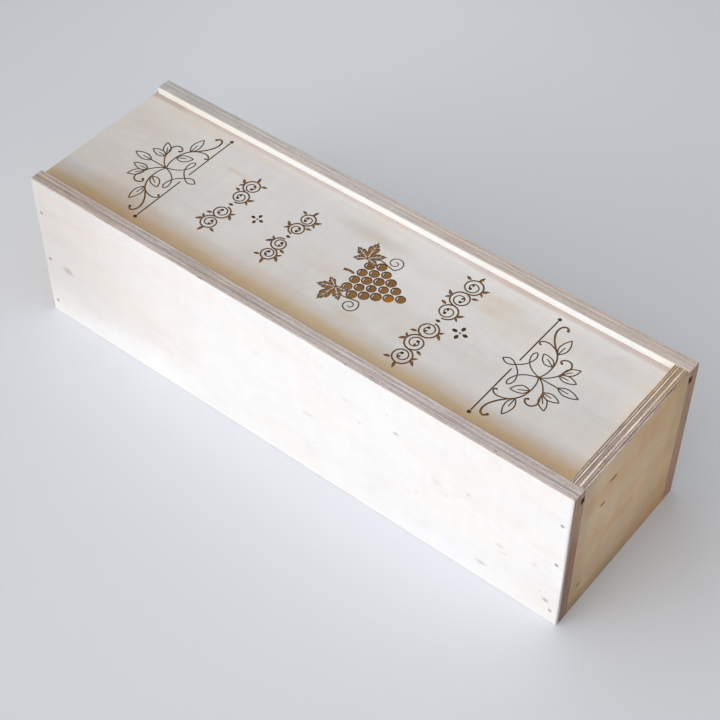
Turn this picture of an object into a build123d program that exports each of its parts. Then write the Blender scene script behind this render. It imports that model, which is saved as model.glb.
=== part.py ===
"""Plywood box for one bottle, with a lid that slides in grooves along its two long sides.

The box stands on its base. X runs along it, from the open end, where the lid slides out, to the stop
end. The front side is at -Y. The origin is at the middle of the underside of the whole, with the lid
closed. All sizes are in millimetres.
"""

import os

from build123d import *

# Sizes of the box, outside
box_length = 360.0
box_width = 111.5
box_height = 103.0

# Thickness of the boards
side_thickness = 9.0
end_thickness = 9.0
base_thickness = 9.0
lid_thickness = 4.0

# Where the lid runs: its top lies below the rim, and its end stands out of the open end
lid_recess = 4.8
lid_overhang = 1.9
groove_depth = 3.2

# Play round the lid, and the gap under it at the open end
lid_play_above = 0.3
lid_play_below = 0.1
lid_play_side = 0.4
lid_play_stop = 0.3
open_end_gap = 0.2

# Arrises taken off with sandpaper
board_arris = 0.5
lid_arris = 0.3

# Brads, driven through the sides into the ends and set below the surface
brad_length = 25.0
brad_shank_diameter = 1.3
brad_head_diameter = 2.1
brad_head_height = 0.8
brad_point_length = 1.6
brad_point_diameter = 0.3
brad_set_depth = 0.4
brad_clearance = 0.05

# Where the brads go: up from the underside, and down from the groove's floor
brad_rise = 9.8
stop_end_brad_drops = (45.2, 13.7)
open_end_brad_drops = (50.4, 14.6)

# Places along the box
open_end_x = (lid_overhang - box_length) / 2
stop_end_x = open_end_x + box_length
inner_open_x = open_end_x + end_thickness
inner_stop_x = stop_end_x - end_thickness

# Places across the box
outer_y = box_width / 2
inner_y = outer_y - side_thickness
inner_width = 2 * inner_y

# Places up the box
lid_top_z = box_height - lid_recess
lid_floor_z = lid_top_z - lid_thickness
groove_floor_z = lid_floor_z - lid_play_below
groove_height = lid_thickness + lid_play_above + lid_play_below
open_end_height = lid_floor_z - open_end_gap

# Where each row of brads goes: the middle of the end board's thickness, and the heights
stop_brad_x = stop_end_x - end_thickness / 2
open_brad_x = open_end_x + end_thickness / 2
stop_brad_heights = [brad_rise] + [groove_floor_z - drop for drop in stop_end_brad_drops]
open_brad_heights = [brad_rise] + [groove_floor_z - drop for drop in open_end_brad_drops]

# Holes that the brads fill: a wide mouth for the head, a bore through the side, a blind bore in the end
brad_mouth_radius = brad_head_diameter / 2 + brad_clearance
brad_bore_radius = brad_shank_diameter / 2 + brad_clearance
brad_mouth_depth = brad_set_depth + brad_head_height + brad_clearance
brad_end_depth = brad_set_depth + brad_length - side_thickness + brad_clearance


def outer_planes(x, heights, facing):
    """Planes on a side's outer face, one for each brad, looking out of the box."""
    return [Plane(origin=(x, facing * outer_y, z), x_dir=(1, 0, 0), z_dir=(0, facing, 0)) for z in heights]


def edge_planes(x, heights, facing):
    """Planes on an end board's edge, one for each brad, looking out of the box."""
    return [Plane(origin=(x, facing * inner_y, z), x_dir=(1, 0, 0), z_dir=(0, facing, 0)) for z in heights]


# Front side: a full length board with the lid's groove along its inner face
with BuildPart() as front_side:
    with BuildSketch(Plane.YZ.offset(open_end_x)):
        with Locations((-outer_y, 0)):
            Rectangle(side_thickness, box_height, align=(Align.MIN, Align.MIN))
        with Locations((-inner_y, groove_floor_z)):
            Rectangle(groove_depth, groove_height, align=(Align.MAX, Align.MIN), mode=Mode.SUBTRACT)
    extrude(amount=box_length)
    outer_face_edges = front_side.faces().sort_by(Axis.Y)[0].edges()
    rim_edges = front_side.faces().sort_by(Axis.Z)[-1].edges()
    fillet(outer_face_edges + rim_edges, board_arris)
    front_brad_planes = outer_planes(stop_brad_x, stop_brad_heights, -1)
    front_brad_planes += outer_planes(open_brad_x, open_brad_heights, -1)
    with Locations(*front_brad_planes):
        CounterBoreHole(brad_bore_radius, brad_mouth_radius, brad_mouth_depth, side_thickness)

# Back side: the front side mirrored
with BuildPart() as back_side:
    mirror(front_side.part, about=Plane.XZ)

# Stop end: full height, flush with the rims, so the lid runs up against it
with BuildPart() as stop_end_panel:
    with BuildSketch(Plane.YZ.offset(inner_stop_x)):
        Rectangle(inner_width, box_height, align=(Align.CENTER, Align.MIN))
    extrude(amount=end_thickness)
    fillet(stop_end_panel.faces().sort_by(Axis.Z)[-1].edges().filter_by(Axis.Y), board_arris)
    stop_edge_planes = edge_planes(stop_brad_x, stop_brad_heights, -1)
    stop_edge_planes += edge_planes(stop_brad_x, stop_brad_heights, 1)
    with Locations(*stop_edge_planes):
        Hole(brad_bore_radius, depth=brad_end_depth)

# Open end: lower, so that the lid passes over it
with BuildPart() as open_end_panel:
    with BuildSketch(Plane.YZ.offset(open_end_x)):
        Rectangle(inner_width, open_end_height, align=(Align.CENTER, Align.MIN))
    extrude(amount=end_thickness)
    fillet(open_end_panel.faces().sort_by(Axis.Z)[-1].edges().filter_by(Axis.Y), board_arris)
    open_edge_planes = edge_planes(open_brad_x, open_brad_heights, -1)
    open_edge_planes += edge_planes(open_brad_x, open_brad_heights, 1)
    with Locations(*open_edge_planes):
        Hole(brad_bore_radius, depth=brad_end_depth)

# Base: glued in between the four walls, level with their undersides
with BuildPart() as base_board:
    with BuildSketch(Plane.XY):
        with Locations((inner_open_x, 0)):
            Rectangle(inner_stop_x - inner_open_x, inner_width, align=(Align.MIN, Align.CENTER))
    extrude(amount=base_thickness)

# Lid: runs in both grooves, from the stop end to a little past the open end
lid_start_x = open_end_x - lid_overhang
lid_length = inner_stop_x - lid_play_stop - lid_start_x
lid_width = inner_width + 2 * (groove_depth - lid_play_side)
with BuildPart() as sliding_lid:
    with BuildSketch(Plane.XY.offset(lid_floor_z)):
        with Locations((lid_start_x, 0)):
            Rectangle(lid_length, lid_width, align=(Align.MIN, Align.CENTER))
    extrude(amount=lid_thickness)
    fillet(sliding_lid.edges(), lid_arris)

boards = {
    "front_side": front_side,
    "back_side": back_side,
    "stop_end_panel": stop_end_panel,
    "open_end_panel": open_end_panel,
    "base_board": base_board,
    "sliding_lid": sliding_lid,
}

# Rows of brads, one for each corner of the box
brad_rows = {
    "front_stop_end_brads": outer_planes(stop_brad_x, stop_brad_heights, -1),
    "back_stop_end_brads": outer_planes(stop_brad_x, stop_brad_heights, 1),
    "front_open_end_brads": outer_planes(open_brad_x, open_brad_heights, -1),
    "back_open_end_brads": outer_planes(open_brad_x, open_brad_heights, 1),
}

os.makedirs("parts", exist_ok=True)

for name, board in boards.items():
    board.part.label = name
    export_step(board.part, f"parts/{name}.step")

# Each brad: a flat head, a straight shank and a blunt point, in from the side's outer face
for name, planes in brad_rows.items():
    shank_length = brad_length - brad_head_height - brad_point_length
    with BuildPart() as brad_row:
        with Locations(*[plane.offset(-brad_set_depth) for plane in planes]):
            Cylinder(brad_head_diameter / 2, brad_head_height, align=(Align.CENTER, Align.CENTER, Align.MAX))
        with Locations(*[plane.offset(-brad_set_depth - brad_head_height) for plane in planes]):
            Cylinder(brad_shank_diameter / 2, shank_length, align=(Align.CENTER, Align.CENTER, Align.MAX))
        with Locations(*[plane.offset(brad_point_length - brad_set_depth - brad_length) for plane in planes]):
            Cone(
                brad_point_diameter / 2,
                brad_shank_diameter / 2,
                brad_point_length,
                align=(Align.CENTER, Align.CENTER, Align.MAX),
            )
    brad_row.part.label = name
    export_step(brad_row.part, f"parts/{name}.step")
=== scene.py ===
"""Looks of a birch plywood bottle box: its boards, its engraved sliding lid, its brads, and the studio.

Lengths in the classes are in millimetres, as a joiner would write them, and the meshes are in metres.
X runs along the box from the open end to the stop end, the front side is at -Y, and Z is up.
"""
import functools
import logging
import math
from dataclasses import dataclass, field
from enum import Enum

import bmesh
import bpy
from mathutils import Matrix, Vector
from mathutils.geometry import delaunay_2d_cdt


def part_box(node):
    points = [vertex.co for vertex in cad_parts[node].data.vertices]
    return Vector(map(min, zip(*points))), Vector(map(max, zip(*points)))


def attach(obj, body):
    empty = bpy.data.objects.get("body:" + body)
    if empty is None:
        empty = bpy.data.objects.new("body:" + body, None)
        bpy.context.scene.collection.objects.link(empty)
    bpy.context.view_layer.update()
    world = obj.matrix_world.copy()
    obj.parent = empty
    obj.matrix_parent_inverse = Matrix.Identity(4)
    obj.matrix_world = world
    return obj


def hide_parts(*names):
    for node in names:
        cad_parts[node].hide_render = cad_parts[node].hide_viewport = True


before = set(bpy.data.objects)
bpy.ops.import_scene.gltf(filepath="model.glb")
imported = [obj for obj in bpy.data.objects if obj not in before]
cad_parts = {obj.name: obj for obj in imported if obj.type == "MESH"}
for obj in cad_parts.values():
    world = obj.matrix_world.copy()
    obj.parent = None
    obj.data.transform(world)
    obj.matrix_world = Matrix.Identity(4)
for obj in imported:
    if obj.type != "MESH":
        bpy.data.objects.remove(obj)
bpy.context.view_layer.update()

MM = 0.001
SAME_PLACE = 1e-7
log = logging.getLogger("bottle_box")

Point = tuple[float, float]
Triple = tuple[float, float, float]
Colour = tuple[float, float, float]
Socket = bpy.types.NodeSocket
Sockets = bpy.types.bpy_prop_collection


def srgb(red: int, green: int, blue: int) -> Colour:
    """Turns a colour as a screen shows it, 0 to 255, into the linear values that shaders take.

    Args:
        red: red, 0 to 255.
        green: green, 0 to 255.
        blue: blue, 0 to 255.

    Returns:
        The linear colour, 0 to 1.
    """
    def linear(value: float) -> float:
        """Undoes the screen's curve for one channel."""
        return value / 12.92 if value <= 0.04045 else ((value + 0.055) / 1.055) ** 2.4

    return tuple(linear(channel / 255) for channel in (red, green, blue))


def rgba(colour: Colour) -> tuple[float, float, float, float]:
    """Adds a full alpha to a colour."""
    return (*colour, 1.0)


class Grain(Enum):
    """Which way a board's face grain runs, and which way its thickness lies."""

    ALONG_BOX_UPRIGHT = ((1, 0, 0), (0, 0, 1), (0, 1, 0))
    ACROSS_BOX_UPRIGHT = ((0, 1, 0), (0, 0, 1), (1, 0, 0))
    ALONG_BOX_FLAT = ((1, 0, 0), (0, 1, 0), (0, 0, 1))


# The Mix and Random Value nodes have sockets for every kind of value, and these are found by number
NUMBER_A, NUMBER_B, NUMBER_RESULT = 2, 3, 0
COLOUR_A, COLOUR_B, COLOUR_RESULT = 6, 7, 2
RANDOM_NUMBER = 1


class Wiring:
    """Adds nodes to one node tree and links them, so that a finish reads as a list of steps."""

    def __init__(self, tree: bpy.types.NodeTree) -> None:
        """Keeps the tree that the nodes go into."""
        self.tree = tree

    def add(self, kind: str, inputs: dict | None = None, **settings: object) -> bpy.types.Node:
        """Adds a node.

        Args:
            kind: the node's type name.
            inputs: what goes into its sockets, by name or number: a value, or another node's output.
            **settings: the node's own properties.

        Returns:
            The new node.
        """
        node = self.tree.nodes.new(kind)
        for name, value in settings.items():
            setattr(node, name, value)
        for key, value in (inputs or {}).items():
            self.feed(node.inputs[key], value)
        return node

    def feed(self, socket: Socket, value: object) -> None:
        """Links a socket to another node's output, or sets it to a value or a colour.

        Args:
            socket: the socket.
            value: the other node's output, or the value itself.
        """
        if isinstance(value, bpy.types.NodeSocket):
            self.tree.links.new(value, socket)
        else:
            socket.default_value = rgba(value) if socket.type == "RGBA" else value

    def group(self, tree: bpy.types.NodeTree, inputs: dict) -> bpy.types.Node:
        """Places a node group, with what goes into its sockets by name."""
        return self.add("ShaderNodeGroup", inputs, node_tree=tree)

    def math(self, operation: str, first: object, second: object = 0.0) -> Socket:
        """One step of arithmetic on numbers."""
        return self.add("ShaderNodeMath", {0: first, 1: second}, operation=operation).outputs[0]

    def times(self, first: object, second: object) -> Socket:
        """One number times another."""
        return self.math("MULTIPLY", first, second)

    def sum_of(self, *values: object) -> Socket:
        """Adds numbers together."""
        return functools.reduce(functools.partial(self.math, "ADD"), values)

    def swing(self, value: object, strength: object) -> Socket:
        """Turns noise about 0.5 into a change that goes up and down from zero."""
        return self.times(self.math("SUBTRACT", value, 0.5), strength)

    def vector(self, operation: str, first: object, second: object = (0.0, 0.0, 0.0)) -> Socket:
        """One step of arithmetic on vectors, giving a vector."""
        return self.add("ShaderNodeVectorMath", {0: first, 1: second}, operation=operation).outputs[0]

    def dot(self, first: object, second: object) -> Socket:
        """The dot product of two vectors, as a number."""
        node = self.add("ShaderNodeVectorMath", {0: first, 1: second}, operation="DOT_PRODUCT")
        return node.outputs["Value"]

    def join(self, x: object, y: object, z: object) -> Socket:
        """Three numbers as one vector."""
        return self.add("ShaderNodeCombineXYZ", {0: x, 1: y, 2: z}).outputs[0]

    def split(self, vector: Socket) -> tuple[Socket, Socket, Socket]:
        """One vector as three numbers."""
        return tuple(self.add("ShaderNodeSeparateXYZ", {0: vector}).outputs)

    def rise(self, value: object, low: object, high: object, bottom: float = 0.0, top: float = 1.0) -> Socket:
        """A smooth step.

        Args:
            value: what is measured.
            low: where the step starts.
            high: where it ends.
            bottom: what it gives at the start.
            top: what it gives at the end.

        Returns:
            A number between bottom and top.
        """
        steps = {0: value, 1: low, 2: high, 3: bottom, 4: top}
        return self.add("ShaderNodeMapRange", steps, interpolation_type="SMOOTHSTEP").outputs[0]

    def noise(self, place: Socket, stretch: Triple, detail: float = 2.0, roughness: float = 0.5,
              distortion: float = 0.0) -> Socket:
        """Cloudy noise about 0.5.

        Args:
            place: the place in the wood.
            stretch: how quickly the noise changes along each axis, per millimetre.
            detail: how many finer layers it has.
            roughness: how strong the finer layers are.
            distortion: how much it is bent out of shape.

        Returns:
            The noise.
        """
        return self.add("ShaderNodeTexNoise", {
            "Vector": self.vector("MULTIPLY", place, stretch),
            "Scale": 1.0,
            "Detail": detail,
            "Roughness": roughness,
            "Distortion": distortion,
        }).outputs[0]

    def mix(self, factor: object, first: object, second: object, blend: str = "MIX") -> Socket:
        """Mixes two colours.

        Args:
            factor: how much of the second shows, 0 to 1.
            first: the first colour.
            second: the second colour.
            blend: how they are put together.

        Returns:
            The colour.
        """
        node = self.add("ShaderNodeMix", data_type="RGBA", blend_type=blend)
        for number, value in ((0, factor), (COLOUR_A, first), (COLOUR_B, second)):
            self.feed(node.inputs[number], value)
        return node.outputs[COLOUR_RESULT]

    def shaded(self, colour: Socket, shade: Socket) -> Socket:
        """A colour made lighter or darker by a number."""
        return self.vector("MULTIPLY", colour, self.join(shade, shade, shade))

    def ramp(self, value: Socket, stops: list[tuple[float, Colour]], stepped: bool = False) -> Socket:
        """Turns a number, 0 to 1, into a colour.

        Args:
            value: the number.
            stops: places from 0 to 1 in rising order, each with its colour.
            stepped: whether each colour holds up to the next stop.

        Returns:
            The colour.
        """
        node = self.add("ShaderNodeValToRGB", {0: value})
        node.color_ramp.interpolation = "CONSTANT" if stepped else "LINEAR"
        elements = node.color_ramp.elements
        while len(elements) > 1:
            elements.remove(elements[-1])
        elements[0].position, elements[0].color = stops[0][0], rgba(stops[0][1])
        for position, colour in stops[1:]:
            elements.new(position).color = rgba(colour)
        return node.outputs[0]

    def surface_point(self) -> tuple[Socket, Socket]:
        """Finds where a point of the surface is.

        Returns:
            Its place in the object, in millimetres, and the way that it faces.
        """
        coordinates = self.add("ShaderNodeTexCoord")
        place = self.vector("SCALE", coordinates.outputs["Object"])
        place.node.inputs["Scale"].default_value = 1 / MM
        return place, coordinates.outputs["Normal"]

    def relief(self, shader: bpy.types.Node, height: Socket, strength: float) -> None:
        """Gives a shader a relief from a height in millimetres."""
        bump = self.add("ShaderNodeBump", {"Strength": strength, "Distance": MM, "Height": height})
        self.feed(shader.inputs["Normal"], bump.outputs[0])


def new_group(name: str, takes: dict[str, str], gives: dict[str, str]) -> tuple[Wiring, Sockets, Sockets]:
    """Starts a shader node group.

    Args:
        name: the group's name.
        takes: the names of its inputs, parted by spaces, under their kind: Float, Vector or Color.
        gives: its outputs, in the same way.

    Returns:
        The wiring of the group's tree, its inputs and its outputs, both by name.
    """
    tree = bpy.data.node_groups.new(name, "ShaderNodeTree")
    for way, sockets in (("INPUT", takes), ("OUTPUT", gives)):
        for kind, labels in sockets.items():
            for label in labels.split():
                tree.interface.new_socket(label, in_out=way, socket_type=f"NodeSocket{kind}")
    w = Wiring(tree)
    return w, w.add("NodeGroupInput").outputs, w.add("NodeGroupOutput").inputs


def new_material(name: str, inputs: dict[str, object]) -> tuple[bpy.types.Material, Wiring, bpy.types.Node]:
    """Starts a material with one Principled shader.

    Args:
        name: the material's name.
        inputs: the shader's values that are the same all over, by name.

    Returns:
        The material, its wiring and its shader node.
    """
    material = bpy.data.materials.new(name)
    material.use_nodes = True
    material.node_tree.nodes.clear()
    w = Wiring(material.node_tree)
    shader = w.add("ShaderNodeBsdfPrincipled", inputs)
    w.add("ShaderNodeOutputMaterial", {0: shader.outputs[0]})
    return material, w, shader


@dataclass(frozen=True)
class Layup:
    """How a plywood is built up, from its outer face inwards.

    Attributes:
        name: the layup's name.
        plies: each ply's thickness in millimetres and how light it shows at a cut edge, where 1 is plain.
        glue: how dark the glue line under each ply but the last is, 0 to 1.
        line: half the width of a glue line.
        mottle: how strongly its cut edges are mottled, 1 for a smooth cut.
    """

    HEADROOM = 2.0

    name: str
    plies: tuple[tuple[float, float], ...]
    glue: tuple[float, ...]
    line: float = 0.2
    mottle: float = 1.0

    @property
    def thickness(self) -> float:
        """The whole board's thickness in millimetres."""
        return sum(depth for depth, _ in self.plies)

    def ply_stops(self) -> list[tuple[float, Colour]]:
        """A stepped ramp over the thickness, for a cut edge.

        Returns:
            Where each ply starts, with its lightness over the headroom that a ramp's limit of 1 asks for, 1
            where its grain runs across, and a shift of its own.
        """
        stops = []
        start = 0.0
        for number, (depth, light) in enumerate(self.plies):
            ply = (light / self.HEADROOM, float(number % 2), number / len(self.plies))
            stops.append((start / self.thickness, ply))
            start += depth
        return stops

    def glue_stops(self) -> list[tuple[float, Colour]]:
        """A ramp over the thickness that rises at each glue line.

        Returns:
            Where the ramp bends, with how dark it is there.
        """
        stops = [(0.0, (0.0, 0.0, 0.0))]
        place = 0.0
        for (depth, _), dark in zip(self.plies, self.glue):
            place += depth
            for share, value in ((-1.0, 0.0), (-0.4, dark), (0.4, dark), (1.0, 0.0)):
                stops.append(((place + share * self.line) / self.thickness, (value, value, value)))
        return stops


FRONT_LAYUP = Layup(
    "front_layup",
    ((1.0, 1.02), (1.4, 1.04), (1.2, 0.97), (1.2, 0.87), (1.4, 0.97), (1.4, 0.98), (1.4, 1.02)),
    (0.08, 0.12, 0.46, 0.16, 0.12, 0.12),
    0.32,
    3.4,
)
BACK_LAYUP = Layup(
    "back_layup",
    ((1.2, 0.93), (1.2, 0.98), (1.3, 1.06), (1.3, 0.97), (1.3, 0.99), (1.3, 1.05), (1.4, 0.97)),
    (0.06, 0.10, 0.14, 0.08, 0.12, 0.08),
    0.30,
    2.4,
)
END_LAYUP = Layup(
    "end_layup",
    ((1.30, 0.75), (1.42, 0.97), (1.56, 1.04), (1.57, 0.78), (1.20, 1.06), (1.37, 1.02), (0.58, 1.02)),
    (1.00, 0.76, 0.60, 0.76, 1.00, 0.94),
    0.32,
    5.6,
)
LID_LAYUP = Layup("lid_layup", ((1.2, 1.05), (1.6, 0.94), (1.2, 1.02)), (0.4, 0.4))
LAYUPS = (FRONT_LAYUP, BACK_LAYUP, END_LAYUP, LID_LAYUP)


MASK = {"Float": "Mask"}
SURFACE = {"Color": "Color", "Float": "Height"}


class WoodGroups:
    """The effects that all the plywood finishes share. All lengths in them are in millimetres.

    A place in a board is given along the face grain, across it, and down through the thickness.
    """

    # How many bands the growth figure has, and how far one pass of the engraver's beam lies from the next
    GROWTH_BANDS = 17.0
    BEAM_STEP = 0.34

    def __init__(self) -> None:
        """Builds each group once."""
        self.mark = self.build_mark()
        self.region = self.build_region()
        self.veneer = self.build_veneer()
        self.edges = {layup.name: self.build_edge(layup) for layup in LAYUPS}
        self.burn = self.build_burn()

    @staticmethod
    def build_mark() -> bpy.types.NodeTree:
        """A soft spindle on the face, such as a mineral streak, a pin knot or a warm cloud.

        Returns:
            The group, which gives a mask.
        """
        takes = {"Vector": "Position Centre Reach", "Float": "Core Strength"}
        w, take, give = new_group("soft_mark", takes, MASK)
        offset = w.vector("SUBTRACT", take["Position"], take["Centre"])
        shape = w.vector("DIVIDE", offset, take["Reach"])
        length = w.add("ShaderNodeVectorMath", {0: shape}, operation="LENGTH").outputs["Value"]
        uneven = w.sum_of(length, w.swing(w.noise(take["Position"], (0.9, 0.9, 0.9)), 0.7))
        mask = w.rise(uneven, take["Core"], 1.0, 1.0, 0.0)
        w.feed(give["Mask"], w.times(mask, take["Strength"]))
        return w.tree

    @classmethod
    def build_veneer(cls) -> bpy.types.NodeTree:
        """The face of peeled birch: clouds, growth figure, fine grain, ripple and pores.

        Returns:
            The group, which gives a colour and a height in millimetres.
        """
        w, take, give = new_group("birch_veneer", {
            "Vector": "Position Seed",
            "Color": "Pale Warm Grey Fleck",
            "Float": "Figure Flecks Contrast",
        }, SURFACE)
        place = w.vector("ADD", take["Position"], take["Seed"])
        clouds = w.noise(place, (0.011, 0.030, 0.03), 3.0, 0.55)
        grey_clouds = w.noise(w.vector("ADD", place, (311.0, 97.0, 0.0)), (0.009, 0.026, 0.03), 3.0)

        # Peeling cuts the yearly growth at a flat angle, so it shows as wandering contour bands
        drift = w.noise(place, (0.008, 0.024, 0.02), 2.5, 0.5, 0.4)
        bands = w.math("FRACT", w.times(drift, cls.GROWTH_BANDS))
        late = w.times(w.rise(bands, 0.05, 0.80), w.rise(bands, 0.86, 0.99, 1.0, 0.0))
        band_fade = w.rise(w.noise(place, (0.02, 0.05, 0.02), 1.0), 0.38, 0.62)
        figure = w.times(w.times(late, band_fade), take["Figure"])

        fine = w.noise(place, (0.05, 2.6, 2.6), 3.0, 0.6)
        fibre = w.noise(place, (0.35, 7.5, 7.5), 2.0, 0.6)
        ripple = w.noise(place, (0.16, 0.030, 0.05), 1.5, 0.5, 0.3)
        mottle = w.noise(place, (0.07, 0.13, 0.1), 3.0, 0.6)
        fuzz = w.noise(place, (0.8, 1.3, 1.3), 2.0, 0.6)
        pores = w.noise(place, (0.55, 5.2, 5.2), 1.0)
        pore_mask = w.times(w.rise(pores, 0.68, 0.80), take["Flecks"])
        dashes = w.noise(w.vector("ADD", place, (57.0, 13.0, 0.0)), (0.20, 1.5, 1.5), 1.0)
        dash_mask = w.times(w.rise(dashes, 0.76, 0.86), take["Flecks"])

        colour = w.mix(w.rise(clouds, 0.42, 0.68), take["Pale"], take["Warm"])
        colour = w.mix(w.times(w.rise(grey_clouds, 0.45, 0.66), 0.6), colour, take["Grey"])
        colour = w.mix(w.times(figure, 0.5), colour, take["Warm"])
        grain = w.sum_of(
            w.swing(fine, 0.085),
            w.swing(fibre, 0.06),
            w.swing(ripple, 0.075),
            w.swing(mottle, 0.09),
            w.swing(fuzz, 0.10),
            w.times(figure, -0.055),
        )
        colour = w.shaded(colour, w.sum_of(1.0, w.times(grain, take["Contrast"])))
        colour = w.mix(w.times(pore_mask, 0.34), colour, take["Fleck"])
        w.feed(give["Color"], w.mix(w.times(dash_mask, 0.5), colour, take["Fleck"]))
        w.feed(give["Height"], w.sum_of(
            w.times(fine, 0.018),
            w.times(fibre, 0.010),
            w.times(pore_mask, -0.020),
            w.times(ripple, 0.02),
        ))
        return w.tree

    @staticmethod
    def build_region() -> bpy.types.NodeTree:
        """A box in the board with soft sides, whose edge wanders a little.

        Returns:
            The group, which gives a mask.
        """
        takes = {"Vector": "Position Low High Fade", "Float": "Wander"}
        w, take, give = new_group("soft_region", takes, MASK)
        clouds = w.noise(take["Position"], (0.022, 0.07, 0.05), 3.0, 0.55)
        shift = w.swing(clouds, take["Wander"])
        moved = w.vector("ADD", take["Position"], w.join(shift, shift, 0.0))
        past_low = w.vector("SUBTRACT", moved, take["Low"])
        before_high = w.vector("SUBTRACT", take["High"], moved)
        inside = w.vector("DIVIDE", w.vector("MINIMUM", past_low, before_high), take["Fade"])
        x, y, z = (w.rise(share, 0.0, 1.0) for share in w.split(inside))
        w.feed(give["Mask"], w.times(w.times(x, y), z))
        return w.tree

    @staticmethod
    def build_edge(layup: Layup) -> bpy.types.NodeTree:
        """A cut edge of one plywood: plies that run along and across by turns, glue lines and voids.

        Args:
            layup: the plywood's plies.

        Returns:
            The group, which gives a colour and a height in millimetres.
        """
        w, take, give = new_group(f"ply_edge_{layup.name}", {
            "Vector": "Position Normal Seed",
            "Color": "Long_edge End_edge Butt Glue Void",
            "Float": "Waviness",
        }, SURFACE)
        place = w.vector("ADD", take["Position"], take["Seed"])
        depth = w.split(take["Position"])[2]
        slow = w.noise(place, (0.022, 0.022, 0.20))
        quick = w.noise(place, (0.16, 0.16, 0.40), 2.0, 0.55)
        wander = w.times(w.sum_of(w.swing(slow, 1.6), w.swing(quick, 0.9)), take["Waviness"])
        level = w.math("DIVIDE", w.sum_of(depth, wander), layup.thickness)
        light, crosswise, shift = w.split(w.ramp(level, layup.ply_stops(), stepped=True))

        # End grain shows where a ply's own grain runs straight out of the cut
        along, across, _ = w.split(take["Normal"])
        butt = w.math("ABSOLUTE", along)
        end_grain = w.sum_of(
            w.times(butt, w.math("SUBTRACT", 1.0, crosswise)),
            w.times(w.math("ABSOLUTE", across), crosswise),
        )

        apart = w.join(w.times(shift, 370.0), w.times(shift, 110.0), w.times(shift, 530.0))
        ply_place = w.vector("ADD", place, apart)
        tone = w.noise(ply_place, (0.016, 0.016, 0.0))
        streak = w.noise(ply_place, (0.06, 0.06, 1.5), 3.0, 0.6)
        fuzz = w.noise(ply_place, (1.1, 1.1, 1.4), 3.0, 0.7)
        cells = w.noise(ply_place, (0.5, 0.5, 1.8), 2.0, 0.6)

        line = w.split(w.ramp(level, layup.glue_stops()))[0]
        broken = w.rise(w.noise(ply_place, (0.05, 0.05, 0.5), 3.0), 0.25, 0.60, 0.45, 1.0)
        glue = w.math("MINIMUM", w.times(w.times(line, broken), w.sum_of(0.55, w.times(cells, 0.9))), 1.0)

        gaps = w.noise(w.vector("ADD", ply_place, (9.0, 71.0, 5.0)), (0.21, 0.21, 1.1), 1.0)
        deep_inside = w.times(w.rise(level, 0.10, 0.15), w.rise(level, 0.85, 0.90, 1.0, 0.0))
        open_grain = w.times(w.rise(end_grain, 0.3, 0.7, 0.2, 0.9), w.math("SUBTRACT", 1.0, butt))
        void = w.times(w.times(w.rise(gaps, 0.775, 0.80), deep_inside), open_grain)

        wood = w.mix(end_grain, take["Long_edge"], take["End_edge"])
        wood = w.mix(butt, wood, w.mix(1.0, wood, take["Butt"], "MULTIPLY"))
        mottle = w.sum_of(
            w.swing(streak, 0.40),
            w.swing(fuzz, 0.22),
            w.swing(cells, 0.24),
            w.times(w.rise(cells, 0.54, 0.70), -0.05),
        )
        shade = w.sum_of(1.0, w.swing(tone, 0.28), w.times(mottle, layup.mottle))
        wood = w.shaded(wood, w.times(w.times(light, Layup.HEADROOM), shade))
        wood = w.mix(glue, wood, take["Glue"])
        w.feed(give["Color"], w.mix(void, wood, take["Void"]))
        w.feed(give["Height"], w.sum_of(
            w.times(streak, 0.05),
            w.times(fuzz, 0.05),
            w.times(glue, -0.05),
            w.times(void, -0.12),
        ))
        return w.tree

    @classmethod
    def build_burn(cls) -> bpy.types.NodeTree:
        """Wood burnt by an engraver: brown, with amber places and faint lines where the beam passed.

        Returns:
            The group, which gives a colour and a height in millimetres.
        """
        w, take, give = new_group("burnt_wood", {"Vector": "Position", "Color": "Brown Dark Amber"}, SURFACE)
        place = take["Position"]
        patches = w.noise(place, (0.045, 0.10, 0.0), 2.0, 0.55)
        burnt_more = w.noise(w.vector("ADD", place, (71.0, 7.0, 0.0)), (0.06, 0.15, 0.0))
        fibre = w.noise(place, (0.30, 4.5, 0.0), 2.0, 0.6)
        speck = w.noise(place, (2.2, 2.2, 0.0), 2.0, 0.6)
        passes = w.math("SINE", w.times(w.split(place)[0], 2 * math.pi / cls.BEAM_STEP))
        colour = w.mix(w.rise(patches, 0.60, 0.72), take["Brown"], take["Amber"])
        colour = w.mix(w.rise(burnt_more, 0.50, 0.72, 0.0, 0.75), colour, take["Dark"])
        shade = w.sum_of(1.0, w.swing(fibre, 0.34), w.swing(speck, 0.30), w.times(passes, 0.035))
        w.feed(give["Color"], w.shaded(colour, shade))
        w.feed(give["Height"], w.sum_of(w.times(speck, 0.05), w.times(passes, 0.008)))
        return w.tree


@dataclass(frozen=True)
class Mark:
    """One streak, pin knot or cloud on a board, placed in the board's own plane.

    Attributes:
        along: place along the grain, in the frame, in millimetres.
        across: place across the grain.
        length: half its length along the grain.
        width: half its width.
        strength: how much of the mark's colour shows, 0 to 1.
        colour: the mark's colour.
        core: how much of it is solid before it fades, 0 to 1.
        depth: place through the thickness.
        deep: half its height through the thickness.
    """

    along: float
    across: float
    length: float
    width: float
    strength: float
    colour: Colour
    core: float
    depth: float = 0.0
    deep: float = 1.5


# A reach past any board, the depths of a board's skin, and those below it
FAR = 999.0
SKIN = (-FAR, 0.4)
BELOW_SKIN = (0.4, FAR)


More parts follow.
